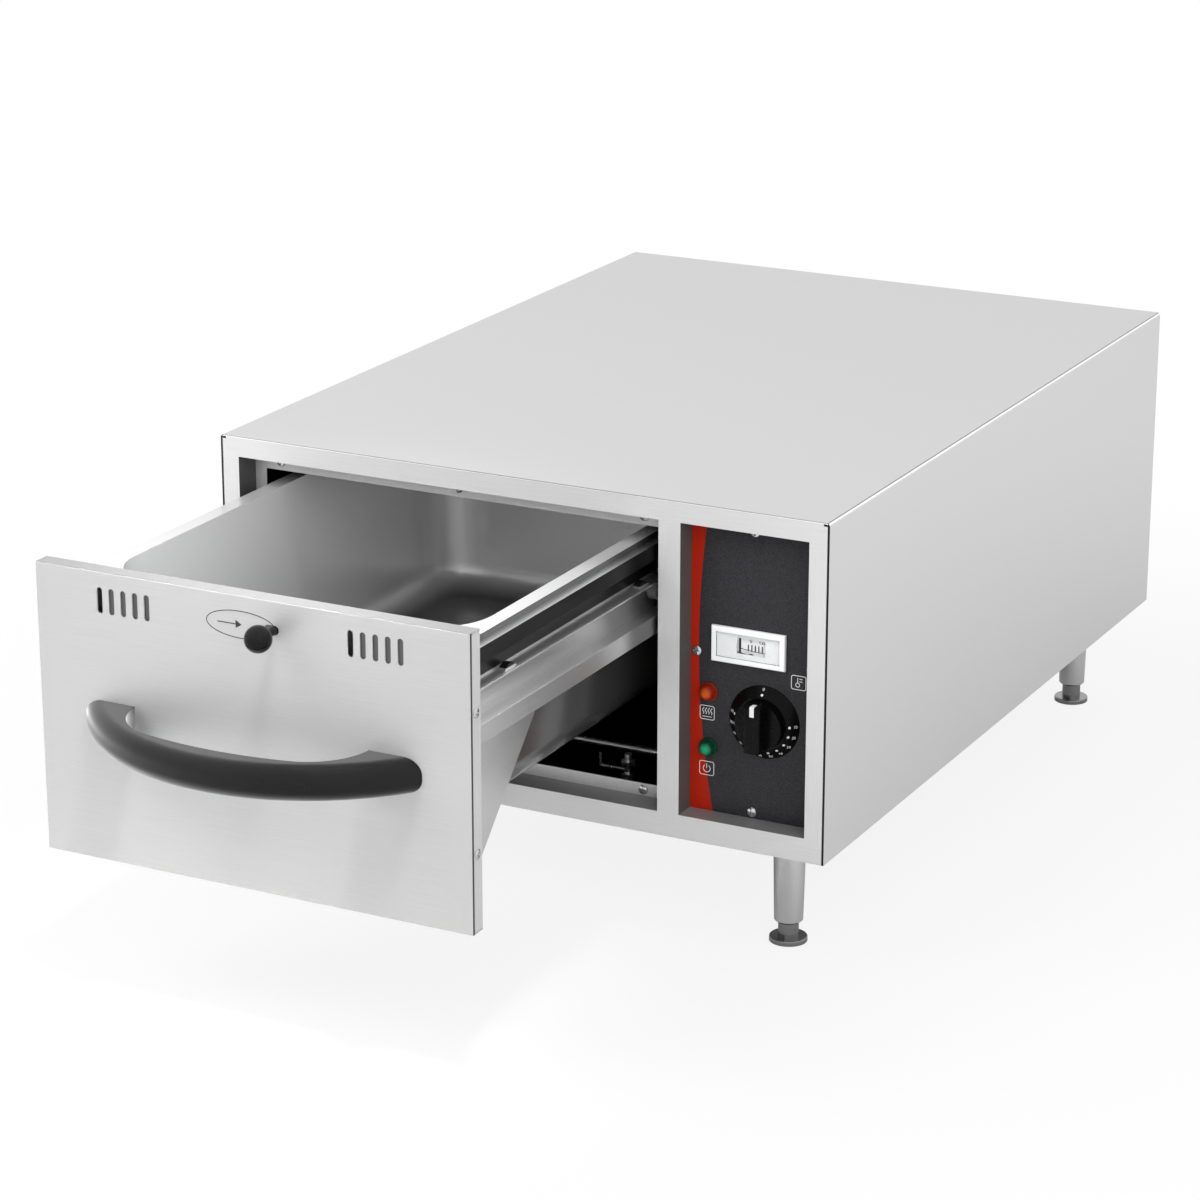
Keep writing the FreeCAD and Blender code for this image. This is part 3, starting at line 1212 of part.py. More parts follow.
def parts():
    """Every node of the assembly by name."""
    nodes = {
        "outer_casing": outer_casing(),
        "front_frame": front_frame(),
        "back_panel": back_panel(),
        "base_panel": base_panel(),
        "liner_top": liner_deck(OPEN_TOP + SKIN),
        "liner_floor": liner_deck(FLOOR_Z - LINER),
        "liner_back": liner_back(),
        "insulation_boards": insulation_boards(),
        "control_divider": control_divider(),
        "heating_element": heating_element(),
        "element_mounts": element_mounts(),
        "thermostat_bulb": thermostat_bulb(),
        "gauge_probe": gauge_probe(),
        "thermostat_body": thermostat_body(),
        "thermostat_shaft": thermostat_shaft(),
        "thermostat_knob": thermostat_knob(),
        "dial_ring": dial_ring(),
        "control_panel": control_panel(),
        "panel_screws": panel_screws(),
        "gauge_case": gauge_case(),
        "gauge_dial": gauge_dial(),
        "gauge_window": gauge_window(),
        "gauge_needle": gauge_needle(),
        "terminal_block": terminal_block(),
        "wiring_loom": wiring_loom(),
        "cable_gland": cable_gland(),
        "leg_nuts": leg_nuts(),
        "flange_screws": flange_screws(),
        "back_screws": back_screws(),
        "drawer_front": drawer_front(),
        "drawer_front_lining": drawer_front_lining(),
        "drawer_handle": drawer_handle(),
        "handle_bolts": handle_bolts(),
        "drawer_gussets": group([drawer_gusset(side) for side in SIDES.values()]),
        "pan_frame": pan_frame(),
        "food_pan": food_pan(),
        "front_side_screws": front_side_screws(),
        "vent_guides": vent_guides(),
        "vent_plate": vent_plate(),
        "vent_knob": vent_knob(),
    }
    for name, z in LAMPS.items():
        nodes[name] = lamp(z)
    for name, (x, y) in LEGS.items():
        nodes["leg_" + name] = leg(x, y)
        nodes["foot_" + name] = foot(x, y)
    for name, side in SIDES.items():
        nodes["liner_" + name] = liner_side(side)
        nodes["fixed_rail_" + name] = fixed_rail(side)
        nodes["drawer_rail_" + name] = drawer_rail(side)
        nodes["front_roller_" + name] = front_roller(side)
        nodes["rear_roller_" + name] = rear_roller(side)
    return nodes


def main():
    os.makedirs("parts", exist_ok=True)
    for name, shape in parts().items():
        placed = shape.translated(point(0, -ORIGIN_Y, 0))
        placed.exportStep(os.path.join("parts", name + ".step"))


if __name__ == "__main__":
    main()
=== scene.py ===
"""Looks of the freestanding warming drawer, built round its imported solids.

Metres, in the frame of the solids: +X is the user's right, +Y runs to the back, +Z is up.
The floor is Z = 0.
"""
import json
import math

import bmesh
import bpy
from mathutils import Matrix, Vector


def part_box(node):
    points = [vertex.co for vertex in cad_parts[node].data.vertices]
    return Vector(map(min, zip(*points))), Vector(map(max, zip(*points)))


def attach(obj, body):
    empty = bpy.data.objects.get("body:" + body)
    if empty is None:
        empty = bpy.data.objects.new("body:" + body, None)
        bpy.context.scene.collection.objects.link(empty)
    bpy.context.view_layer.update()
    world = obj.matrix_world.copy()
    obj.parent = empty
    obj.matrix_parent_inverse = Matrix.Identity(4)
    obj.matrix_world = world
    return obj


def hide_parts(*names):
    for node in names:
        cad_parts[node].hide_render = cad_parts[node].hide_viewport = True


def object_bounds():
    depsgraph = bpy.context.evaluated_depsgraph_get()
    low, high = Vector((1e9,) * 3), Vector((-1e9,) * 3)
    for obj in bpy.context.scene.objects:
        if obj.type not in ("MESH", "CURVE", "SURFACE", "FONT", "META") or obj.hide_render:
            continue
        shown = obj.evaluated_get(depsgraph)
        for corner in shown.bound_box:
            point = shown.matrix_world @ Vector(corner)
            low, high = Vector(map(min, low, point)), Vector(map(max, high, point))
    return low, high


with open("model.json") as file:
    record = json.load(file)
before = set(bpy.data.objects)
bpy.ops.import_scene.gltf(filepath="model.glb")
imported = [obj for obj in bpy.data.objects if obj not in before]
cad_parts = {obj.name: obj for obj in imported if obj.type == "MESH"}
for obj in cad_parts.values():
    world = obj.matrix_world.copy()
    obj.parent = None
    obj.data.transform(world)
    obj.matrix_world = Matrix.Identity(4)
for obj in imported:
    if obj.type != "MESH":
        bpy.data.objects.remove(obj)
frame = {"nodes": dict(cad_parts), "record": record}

cad_low, cad_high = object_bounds()
scene = bpy.context.scene
nodes = frame["nodes"]

# Camera, solved from the cabinet's edges
CAMERA_PLACE = (1.3001, -2.5644, 1.1467)
CAMERA_AZIMUTH = 27.35
CAMERA_ELEVATION = 18.22
CAMERA_LENS = 112.59
SENSOR = 36.0

# Directions
FRONT = Vector((0, -1, 0))
BACK = Vector((0, 1, 0))
RIGHT = Vector((1, 0, 0))
UP = Vector((0, 0, 1))
FLAT = Vector((1, 0, 1))

# Sides of a small round print, and how close two points are the same one
ROUND_STEPS = 20
SAME_POINT = 1e-6

# Prints on the control panel
INK_RISE = 0.00012
LINE = 0.00048
BAND_WAIST = 0.0064
BAND_WAIST_RISE = 0.134
BAND_RADIUS = 0.709
BAND_STEPS = 24
ICON_WIDTH = 0.0118
ICON_HEIGHT = 0.0108
ICON_CORNER = 0.0016
ICON_CORNER_STEPS = 5
ICON_DROP = 0.017
ICON_SHIFT = -0.0012
PROBE_ICON = Vector((0.0274, 0, 0.0354))

# Heat icon: waves over a bar
WAVES = 4
WAVE_SHARE = 0.19
WAVE_SWING = 0.0006
WAVE_TURN = 0.45
WAVE_LOW = -0.0013
WAVE_HEIGHT = 0.0052
WAVE_STEPS = 18
HEAT_BAR = 0.0076
HEAT_BAR_LOW = -0.0032

# Power icon: open circle, its two angles, and the bar at its top
POWER_RADIUS = 0.0029
POWER_LOW = -0.0002
POWER_START = 125
POWER_END = 415
POWER_STEPS = 24
POWER_BAR_LOW = 0.0002
POWER_BAR_HIGH = 0.0036

# Probe icon: bulb, stem and ticks
BULB_RADIUS = 0.0016
BULB_LOW = -0.0018
STEM_SHIFT = -0.0008
STEM_HIGH = 0.0038
PROBE_TICKS = (0.0010, 0.0030)
PROBE_TICK_START = 0.0006
PROBE_TICK_END = 0.0030

# Dial and knob
RING_SLOPE = 0.008
DOT_COUNT = 11
DOT_START = 88.0
DOT_END = 282.0
DOT_RADIUS = 0.0010
DOT_RING = 0.0228
NUMBER_RING = 0.0263
NUMBER_SIZE = 0.0032
NUMBER_STEP = 10
MARK_WIDTH = 0.0036
MARK_LENGTH = 0.0078
MARK_BACK = 0.006
MARK_STEPS = 6
KNOB_EDGE = 0.00108

# Thermometer face: its cover's opening from the middle, a bar of painted shadow at the opening's left edge,
# and the scale that shows in it
FACE_LEFT = -0.0102
FACE_RIGHT = 0.0131
FACE_LOW = -0.0062
FACE_HIGH = 0.0063
WALL_SHADOW_WIDTH = 0.0016
TICK_COUNT = 6
TICK_SPAN = 0.0144
TICK_HEIGHT = 0.0052
TICK_WIDTH = 0.0009
TICK_START = -0.0026
TICK_RISE = -0.0046
TICK_SAG = 0.0016
SAG_STEPS = 16
FACE_NUMBER = 0.0042
FACE_NUMBER_RISE = 0.75
FACE_FIRST = 0.15
FACE_LAST = 0.8
FACE_TOP = 120

# Sign on the drawer front: an ellipse and an arrow; its two line widths are shares of the common one
SIGN_WIDTH = 0.057
SIGN_HEIGHT = 0.020
SIGN_SHIFT = -0.005
SIGN_DROP = 0.0215
SIGN_STEPS = 64
ARROW_LENGTH = 0.020
ARROW_HEAD = 0.005
ARROW_START = 0.34
ARROW_SPREAD = 0.6
SIGN_LINE = 1.3
ARROW_LINE = 1.6

# Pan's inside is what faces a point this far above its rim; its lip has this depth
PAN_EYE = 0.05
PAN_LIP = 0.02

# Pan's corners: how far a face turns between two walls where the painted highlight starts and is full
PAN_CORNER_START = 0.25
PAN_CORNER_FULL = 0.45

# Shares of a steel's tone on faces painted darker as shade, or brighter as highlight, than the rest
PAN_OUTSIDE_SHADE = 0.08
PAN_LEVEL_SHADE = 0.6
PAN_FLOOR_SHADE = 0.1
PAN_CORNER_HIGHLIGHT = 1.28
RAIL_UPPER_SHADE = 0.06
LEDGE_SKIRT_SHADE = 0.05
FRONT_TOP_SHADE = 0.6
FRAME_SIDE_SHADE = 0.12
FRAME_LEVEL_SHADE = 0.5
CASING_JOINT_SHADOW = 0.02
CASING_TOP_SHADE = 0.88
BEND_SHADE = 0.4
BEND_LIGHT = 1.5

# How much of an axis a face's direction holds where it looks partly, mostly and squarely along it
FACING_PARTLY = 0.3
FACING = 0.7
FACING_SQUARELY = 0.99

# Joint lines, with the shadow in their gaps painted dark
SEAM_WIDTH = 0.0022
SEAM_SET = 0.0004

# Casing's upper bends: how far below the top a painted shade line starts, and where a painted highlight line
# starts and ends
BEND_DARK = 0.00015
BEND_BRIGHT = 0.0006
BEND_END = 0.0017

# Nodes whose sharp edges catch a line of light, with the rounding's sizes and its angles in degrees
SOFT_EDGES = ("outer_casing", "front_frame", "drawer_front", "drawer_handle", "pan_frame", "drawer_rail_left",
              "drawer_rail_right")
EDGE_ROUND = 0.0006
EDGE_STEPS = 3
EDGE_WELD = 0.000005
FLAT_ANGLE = 0.5
ROUND_ANGLE = 40.0
SPLIT_ANGLE = 35.0
FLAT_WEIGHT = 100

# Corners with a leg and a foot
CORNERS = ("front_left", "front_right", "rear_left", "rear_right")

# Brushing: how fine a steel's lines are along each axis, with the small number along the lines
ALONG_X = (30.0, 1100.0, 1100.0)
ALONG_Y = (1100.0, 25.0, 1100.0)
ALONG_Z = (1100.0, 1100.0, 30.0)
FRONT_LINES = (18.0, 1500.0, 1500.0)
RAIL_LINES = (700.0, 12.0, 700.0)
PAN_SATIN = (900.0, 900.0, 900.0)

# Part of its range that noise mostly fills
NOISE_LOW = 0.3
NOISE_HIGH = 0.7

# Handle's satin sheen
HANDLE_SHEEN = 0.6
HANDLE_SHEEN_SPREAD = 0.34

# Floor: half its width, its drop below the feet, and how far its shadow and its dark reflection reach
FLOOR_HALF = 30.0
FLOOR_DROP = 0.0002
FLOOR_TONE = 0.62
SHADOW_START = 0.08
SHADOW_END = 0.6
SHADOW_WHITE = 0.86
MIRROR_END = 0.8
MIRROR_WHITE = 0.05

# Light of the room beside the lamps, and the points that lamps face
ROOM_LIGHT = 0.8
CABINET_AIM = Vector((0, -0.1, 0.2))
FRONT_AIM = Vector((-0.06, -0.5, 0.2))
HANDLE_AIM = Vector((-0.15, -0.7, 0.2))
PAN_AIM = Vector((-0.08, -0.45, 0.22))

# Screws
SCREW_RISE = 0.0016
SHANK_SHARE = 0.5
RIM_SHARE = 0.35
SCREW_SIDES = 48
SCREW_RINGS = 12
CROSS_WIDTH = 0.13
CROSS_REACH = 0.62


# Places and pieces


def middle(node):
    """Centre of a node's box."""
    low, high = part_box(node)
    return (low + high) / 2


def facing(origin, out, up=UP):
    """Lays a drawing's X, Y and Z along a surface's across, up and outward directions."""
    out = out.normalized()
    across = up.cross(out).normalized()
    turn = Matrix((across, out.cross(across), out)).transposed()
    return Matrix.Translation(origin) @ turn.to_4x4()


def new_piece(name, shape, body, paint):
    """A mesh piece that rides on a body and takes a material."""
    mesh = bpy.data.meshes.new(name)
    bmesh.ops.recalc_face_normals(shape, faces=shape.faces)
    shape.to_mesh(mesh)
    shape.free()
    mesh.materials.append(paint)
    piece = bpy.data.objects.new(name, mesh)
    scene.collection.objects.link(piece)
    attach(piece, body)
    return piece


def ink(name, drawing, place, body, paint, rise=INK_RISE):
    """A flat drawing as a thin print on a surface."""
    drawing.transform(place)
    piece = new_piece(name, drawing, body, paint)
    film = piece.modifiers.new("film", "SOLIDIFY")
    film.thickness = 2 * rise
    film.offset = 0
    return piece


# Flat drawing


def plate(drawing, outline, at=Matrix()):
    """Filled outline."""
    drawing.faces.new([drawing.verts.new(at @ Vector((x, y, 0))) for x, y in outline])


def stroke(drawing, points, width=LINE, closed=False):
    """Line of one width through points."""
    count = len(points)
    edges = []
    for i, (x, y) in enumerate(points):
        before = Vector(points[i - 1]) if closed or i else Vector((x, y))
        after = Vector(points[(i + 1) % count]) if closed or i + 1 < count else Vector((x, y))
        along = (after - before).normalized() * width / 2
        left = drawing.verts.new((x - along.y, y + along.x, 0))
        right = drawing.verts.new((x + along.y, y - along.x, 0))
        edges.append((left, right))
    ends = edges[1:] + edges[:1] if closed else edges[1:]
    for (left, right), (next_left, next_right) in zip(edges, ends):
        drawing.faces.new((left, right, next_right, next_left))


def arc(x, y, across, tall, start, end, steps):
    """Points on an ellipse between two angles in degrees."""
    angles = [math.radians(start + (end - start) * i / steps) for i in range(steps + 1)]
    return [(x + across * math.cos(a), y + tall * math.sin(a)) for a in angles]


def disc(radius):
    """Outline of a disc."""
    return arc(0, 0, radius, radius, 0, 360, ROUND_STEPS)[:-1]


def rounded_frame(width, height, corner, steps):
    """Outline of a rectangle with round corners."""
    points = []
    for turn, (sx, sy) in enumerate(((1, 1), (-1, 1), (-1, -1), (1, -1))):
        x = sx * (width / 2 - corner)
        y = sy * (height / 2 - corner)
        points += arc(x, y, corner, corner, 90 * turn, 90 * turn + 90, steps)
    return points


def number(drawing, value, size, at):
    """Plain digits centred at a place."""
    curve = bpy.data.curves.new("digits", "FONT")
    curve.body = str(value)
    curve.size = size
    curve.align_x = "CENTER"
    curve.align_y = "CENTER"
    holder = bpy.data.objects.new("digits", curve)
    mesh = bpy.data.meshes.new_from_object(holder)
    mesh.transform(at)
    drawing.from_mesh(mesh)
    bpy.data.objects.remove(holder)
    bpy.data.curves.remove(curve)
    bpy.data.meshes.remove(mesh)


# Nodes of materials


def principled(name, colour, roughness=0.5, metallic=0.0):
    """A new material and its shader."""
    made = bpy.data.materials.new(name)
    made.use_nodes = True
    shader = made.node_tree.nodes["Principled BSDF"]
    shader.inputs["Base Color"].default_value = (*colour, 1.0)
    shader.inputs["Roughness"].default_value = roughness
    shader.inputs["Metallic"].default_value = metallic
    return made, shader


def node_of(made, kind, **values):
    """A new node in a material or world, with its inputs set by name."""
    node = made.node_tree.nodes.new(kind)
    for name, value in values.items():
        node.inputs[name.replace("_", " ")].default_value = value
    return node


def link(made, source, target):
    made.node_tree.links.new(source, target)


def maths(made, operation, first, second):
    """Value of a sum or comparison of two outputs or numbers."""
    node = node_of(made, "ShaderNodeMath")
    node.operation = operation
    for socket, value in zip(node.inputs, (first, second)):
        if isinstance(value, bpy.types.NodeSocket):
            link(made, value, socket)
        else:
            socket.default_value = value
    return node.outputs["Value"]


def place_axis(made, axis):
    """One coordinate of the object's own frame."""
    where = node_of(made, "ShaderNodeTexCoord")
    split = node_of(made, "ShaderNodeSeparateXYZ")
    link(made, where.outputs["Object"], split.inputs["Vector"])
    return split.outputs[axis]


def normal_axis(made, axis, kind="True Normal"):
    """One coordinate of the surface's direction."""
    surface = node_of(made, "ShaderNodeNewGeometry")
    split = node_of(made, "ShaderNodeSeparateXYZ")
    link(made, surface.outputs[kind], split.inputs["Vector"])
    return split.outputs[axis]


def faces_along(made, axis):
    """1 on faces that look along an axis, either way."""
    return maths(made, "GREATER_THAN", maths(made, "ABSOLUTE", normal_axis(made, axis), 0.0), FACING)


def blend(made, share, first, second):
    """Value between two others by a share."""
    choice = node_of(made, "ShaderNodeMix")
    link(made, share, choice.inputs[0])
    link(made, first, choice.inputs[2])
    link(made, second, choice.inputs[3])
    return choice.outputs[0]


def dull(made, shader, where, keep):
    """Paint shade or light into the base colour: a share of itself where a mask is 1, darker below 1,
    brighter above.
    """
    colour = shader.inputs["Base Color"].links[0].from_socket
    scale = node_of(made, "ShaderNodeVectorMath")
    scale.operation = "SCALE"
    link(made, colour, scale.inputs[0])
    link(made, spread(made, where, 1.0, keep, 0.0, 1.0), scale.inputs["Scale"])
    link(made, scale.outputs["Vector"], shader.inputs["Base Color"])


def grain(made, scale, detail=3.0):
    """Noise over the object's own coordinates, stretched by a scale for each axis."""
    where = node_of(made, "ShaderNodeTexCoord")
    stretch = node_of(made, "ShaderNodeMapping", Scale=scale)
    noise = node_of(made, "ShaderNodeTexNoise", Scale=1.0, Detail=detail, Roughness=0.6)
    link(made, where.outputs["Object"], stretch.inputs["Vector"])
    link(made, stretch.outputs["Vector"], noise.inputs["Vector"])
    return noise.outputs["Fac"]


def spread(made, source, low, high, start=NOISE_LOW, end=NOISE_HIGH):
    """A value mapped from one range to another."""
    node = node_of(made, "ShaderNodeMapRange", From_Min=start, From_Max=end, To_Min=low, To_Max=high)
    link(made, source, node.inputs["Value"])
    return node.outputs["Result"]


def tint(made, shader, source, dark, light):
    """Base colour between two tones."""
    ramp = node_of(made, "ShaderNodeValToRGB")
    stops = zip(ramp.color_ramp.elements, (dark, light), (NOISE_LOW, NOISE_HIGH))
    for element, colour, position in stops:
        element.color = (*colour, 1.0)
        element.position = position
    link(made, source, ramp.inputs["Fac"])
    link(made, ramp.outputs["Color"], shader.inputs["Base Color"])


def relief(made, shader, source, distance, strength=0.5):
    """Bump from a height of 0 to 1."""
    bump = node_of(made, "ShaderNodeBump", Strength=strength, Distance=distance)
    link(made, source, bump.inputs["Height"])
    link(made, bump.outputs["Normal"], shader.inputs["Normal"])


def shades(tone, part):
    """Two greys a given part below and above a tone."""
    return (tone * (1 - part),) * 3, (tone * (1 + part),) * 3


# Materials


def steel_finish(made, shader, lines, tone, roughness, contrast, depth=0.3):
    """Tone, gloss and relief of brushed steel from its lines."""
    tint(made, shader, lines, *shades(tone, contrast))
    link(made, spread(made, lines, roughness - 0.04, roughness + 0.04), shader.inputs["Roughness"])
    relief(made, shader, lines, 0.00001, depth)


def brushed_steel(name, tone, roughness, stretch, contrast=0.02, depth=0.1):
    """Brushed stainless steel with lines along the axis of the small scale."""
    made, shader = principled(name, (tone,) * 3, roughness, 1.0)
    steel_finish(made, shader, grain(made, stretch, 4.0), tone, roughness, contrast, depth)
    return made


def pan_steel(name, tone, roughness):
    """Satin pan with painted shade on its floor, level faces and outside, which faces away from a point above
    its middle, and a painted highlight down its inner corners.
    """
    made = brushed_steel(name, tone, roughness, PAN_SATIN, 0.015, 0.1)
    shader = made.node_tree.nodes["Principled BSDF"]
    low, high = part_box("food_pan")
    above = (low + high) / 2
    above.z = high.z + PAN_EYE
    where = node_of(made, "ShaderNodeTexCoord")
    surface = node_of(made, "ShaderNodeNewGeometry")
    reach = node_of(made, "ShaderNodeVectorMath")
    reach.operation = "SUBTRACT"
    reach.inputs[1].default_value = above
    link(made, where.outputs["Object"], reach.inputs[0])
    outward = node_of(made, "ShaderNodeVectorMath")
    outward.operation = "DOT_PRODUCT"
    link(made, reach.outputs["Vector"], outward.inputs[0])
    link(made, surface.outputs["True Normal"], outward.inputs[1])
    # Painted shade on the outside, which faces away from the point above the pan.
    dull(made, shader, maths(made, "GREATER_THAN", outward.outputs["Value"], 0.0), PAN_OUTSIDE_SHADE)
    smooth = [normal_axis(made, axis, "Normal") for axis in "XYZ"]
    across, along, rise = [maths(made, "ABSOLUTE", part, 0.0) for part in smooth]
    inside = maths(made, "LESS_THAN", place_axis(made, "Z"), high.z - PAN_LIP)
    # Painted shade on level faces, deepest on the floor inside.
    level = maths(made, "POWER", rise, 4.0)
    dull(made, shader, level, PAN_LEVEL_SHADE)
    dull(made, shader, maths(made, "MULTIPLY", level, inside), PAN_FLOOR_SHADE)
    # Painted highlight down the inner corners between walls.
    turned = maths(made, "MULTIPLY", across, along)
    corner = spread(made, turned, 0.0, 1.0, PAN_CORNER_START, PAN_CORNER_FULL)
    dull(made, shader, maths(made, "MULTIPLY", corner, inside), PAN_CORNER_HIGHLIGHT)
    shader.inputs["Metallic"].default_value = 0.4
    shader.inputs["Coat Weight"].default_value = 1.0
    shader.inputs["Coat Roughness"].default_value = 0.16
    return made


def rail_steel(name, tone, roughness):
    """Drawer sides, dark above the roller channel, where the pan's frame shades them."""
    made = brushed_steel(name, tone, roughness, RAIL_LINES, 0.02, 0.03)
    shader = made.node_tree.nodes["Principled BSDF"]
    channel_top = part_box("fixed_rail_right")[1].z
    # Painted shade above the roller channel.
    dull(made, shader, maths(made, "GREATER_THAN", place_axis(made, "Z"), channel_top), RAIL_UPPER_SHADE)
    shader.inputs["Metallic"].default_value = 0.85
    return made


def front_steel(name, tone, roughness):
    """Drawer front: fine level lines, a soft scatter that mirrors little, and painted shade on its top edge.
    """
    made = brushed_steel(name, tone, roughness, FRONT_LINES, 0.05, 0.3)
    shader = made.node_tree.nodes["Principled BSDF"]
    shader.inputs["Metallic"].default_value = 0.6
    # Painted shade on the top edge.
    dull(made, shader, maths(made, "GREATER_THAN", normal_axis(made, "Z"), FACING), FRONT_TOP_SHADE)
    return made


def ledge_steel(name, tone, roughness):
    """Pan's ledge, with painted shade down its skirts under the rim."""
    made = brushed_steel(name, tone, roughness, ALONG_Y, 0.015, 0.05)
    shader = made.node_tree.nodes["Principled BSDF"]
    # Painted shade down the skirts.
    dull(made, shader, faces_along(made, "X"), LEDGE_SKIRT_SHADE)
    return made


def casing_steel(name, tone, roughness):
    """Casing with painted shadow at its front joint with the frame, painted shade and highlight lines at its
    upper bends, and painted shade on its top.
    """
    made = brushed_steel(name, tone, roughness, ALONG_Y, 0.012, 0.05)
    shader = made.node_tree.nodes["Principled BSDF"]
    shader.inputs["Metallic"].default_value = 0.7
    depth = maths(made, "SUBTRACT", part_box("outer_casing")[1].z, place_axis(made, "Z"))
    # Painted shade line, then painted highlight line, along the upper bends.
    for start, end, keep in ((BEND_DARK, BEND_BRIGHT, BEND_SHADE), (BEND_BRIGHT, BEND_END, BEND_LIGHT)):
        after = maths(made, "GREATER_THAN", depth, start)
        before = maths(made, "LESS_THAN", depth, end)
        dull(made, shader, maths(made, "MULTIPLY", after, before), keep)
    # Painted shadow on the upright front edges beside the frame, at their joint.
    front = maths(made, "LESS_THAN", normal_axis(made, "Y"), -FACING_PARTLY)
    across = maths(made, "ABSOLUTE", place_axis(made, "X"), 0.0)
    beside = maths(made, "GREATER_THAN", across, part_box("front_frame")[1].x)
    dull(made, shader, maths(made, "MULTIPLY", front, beside), CASING_JOINT_SHADOW)
    # Painted shade on the top.
    dull(made, shader, maths(made, "GREATER_THAN", normal_axis(made, "Z"), FACING_SQUARELY), CASING_TOP_SHADE)
    return made


def black_handle(name, tone, roughness, mirror):
    """Black bow with a satin sheen at flat angles."""
    made, shader = principled(name, (tone,) * 3, roughness)
    rubbed = grain(made, (20, 20, 20), 1.0)
    tint(made, shader, rubbed, *shades(tone, 0.15))
    link(made, spread(made, rubbed, roughness * 0.95, roughness * 1.05), shader.inputs["Roughness"])
    shader.inputs["Specular IOR Level"].default_value = mirror
    shader.inputs["Sheen Weight"].default_value = HANDLE_SHEEN
    shader.inputs["Sheen Roughness"].default_value = HANDLE_SHEEN_SPREAD
    return made


def frame_steel(name, tone, roughness):
    """Front frame with lines along each member: level above and below the opening, upright beside it, and
    painted shade on its sideways and level faces.
    """
    made, shader = principled(name, (tone,) * 3, roughness, 1.0)
    flange_low, flange_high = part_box("drawer_front")
    height = place_axis(made, "Z")
    above = maths(made, "GREATER_THAN", height, flange_high.z)
    below = maths(made, "LESS_THAN", height, flange_low.z)
    level = maths(made, "MAXIMUM", above, below)
    lines = blend(made, level, grain(made, ALONG_Z, 4.0), grain(made, ALONG_X, 4.0))
    steel_finish(made, shader, lines, tone, roughness, 0.04)
    # Painted shade on the sideways and level faces.
    sideways = faces_along(made, "X")
    dull(made, shader, sideways, FRAME_SIDE_SHADE)
    dull(made, shader, faces_along(made, "Z"), FRAME_LEVEL_SHADE)
    link(made, spread(made, sideways, 0.6, 0.2, 0.0, 1.0), shader.inputs["Metallic"])
    return made


def plain_metal(name, tone, roughness, contrast=0.06):
    """Bare metal with a soft cloudy tone."""
    made, shader = principled(name, (tone,) * 3, roughness, 1.0)
    clouds = grain(made, (60, 60, 60), 3.0)
    tint(made, shader, clouds, *shades(tone, contrast))
    link(made, spread(made, clouds, roughness * 0.85, roughness * 1.15), shader.inputs["Roughness"])
    return made


def plastic(name, colour, roughness, scale=900.0, depth=0.00003, contrast=0.15):
    """Moulded plastic or ink with a fine skin."""
    made, shader = principled(name, colour, roughness)
    skin = grain(made, (scale,) * 3, 2.0)
    dark = [c * (1 - contrast) for c in colour]
    light = [min(1, c * (1 + contrast)) for c in colour]
    tint(made, shader, skin, dark, light)
    link(made, spread(made, skin, roughness * 0.9, roughness * 1.1), shader.inputs["Roughness"])
    relief(made, shader, skin, depth, 0.3)
    return made


def glossy(name, colour, roughness, mirror, scale=300.0, depth=0.00001, contrast=0.15):
    """Plastic with a weaker mirror, for deep blacks."""
    made = plastic(name, colour, roughness, scale, depth, contrast)
    shader = made.node_tree.nodes["Principled BSDF"]
    shader.inputs["Specular IOR Level"].default_value = mirror
    return made


def copper(name):
    made, shader = principled(name, (0.72, 0.42, 0.24), 0.3, 1.0)
    tint(made, shader, grain(made, (80, 80, 80)), (0.62, 0.34, 0.18), (0.78, 0.48, 0.28))
    return made


def mineral_board(name):
    """Pressed fibre."""
    made, shader = principled(name, (0.75, 0.69, 0.52), 0.9)
    fibres = grain(made, (400, 90, 400), 5.0)
    tint(made, shader, fibres, (0.62, 0.56, 0.40), (0.82, 0.77, 0.60))
    relief(made, shader, fibres, 0.0006, 0.8)
    return made


def clear_window(name):
    """Thin clear plastic with a hint of haze."""
    made, shader = principled(name, (0.97, 0.98, 0.98), 0.04)
    shader.inputs["Transmission Weight"].default_value = 1.0
    shader.inputs["IOR"].default_value = 1.1
    link(made, spread(made, grain(made, (200, 200, 200)), 0.02, 0.06), shader.inputs["Roughness"])
    return made


def signal_lens(name, node, deep, bright):
    """Faceted lamp lens with a painted glow, bright in its middle and deep at its rim."""
    made, shader = principled(name, bright, 0.12)
    low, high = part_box(node)
    out = node_of(made, "ShaderNodeTexCoord").outputs["Object"]
    for operation, value in (("SUBTRACT", (low + high) / 2), ("MULTIPLY", FLAT)):
        step = node_of(made, "ShaderNodeVectorMath")
        step.operation = operation
        step.inputs[1].default_value = value
        link(made, out, step.inputs[0])
        out = step.outputs["Vector"]
    length = node_of(made, "ShaderNodeVectorMath")
    length.operation = "LENGTH"
    link(made, out, length.inputs[0])
    radius = (high.x - low.x) / 2
    # Painted glow: bright in the middle, deep at the rim.
    tint(made, shader, spread(made, length.outputs["Value"], 1.0, 0.0, 0.0, radius), deep, bright)
    shader.inputs["Specular IOR Level"].default_value = 0.2
    facets = node_of(made, "ShaderNodeTexVoronoi", Scale=650.0)
    link(made, out, facets.inputs["Vector"])
    relief(made, shader, facets.outputs["Distance"], 0.0004, 0.5)
    return made


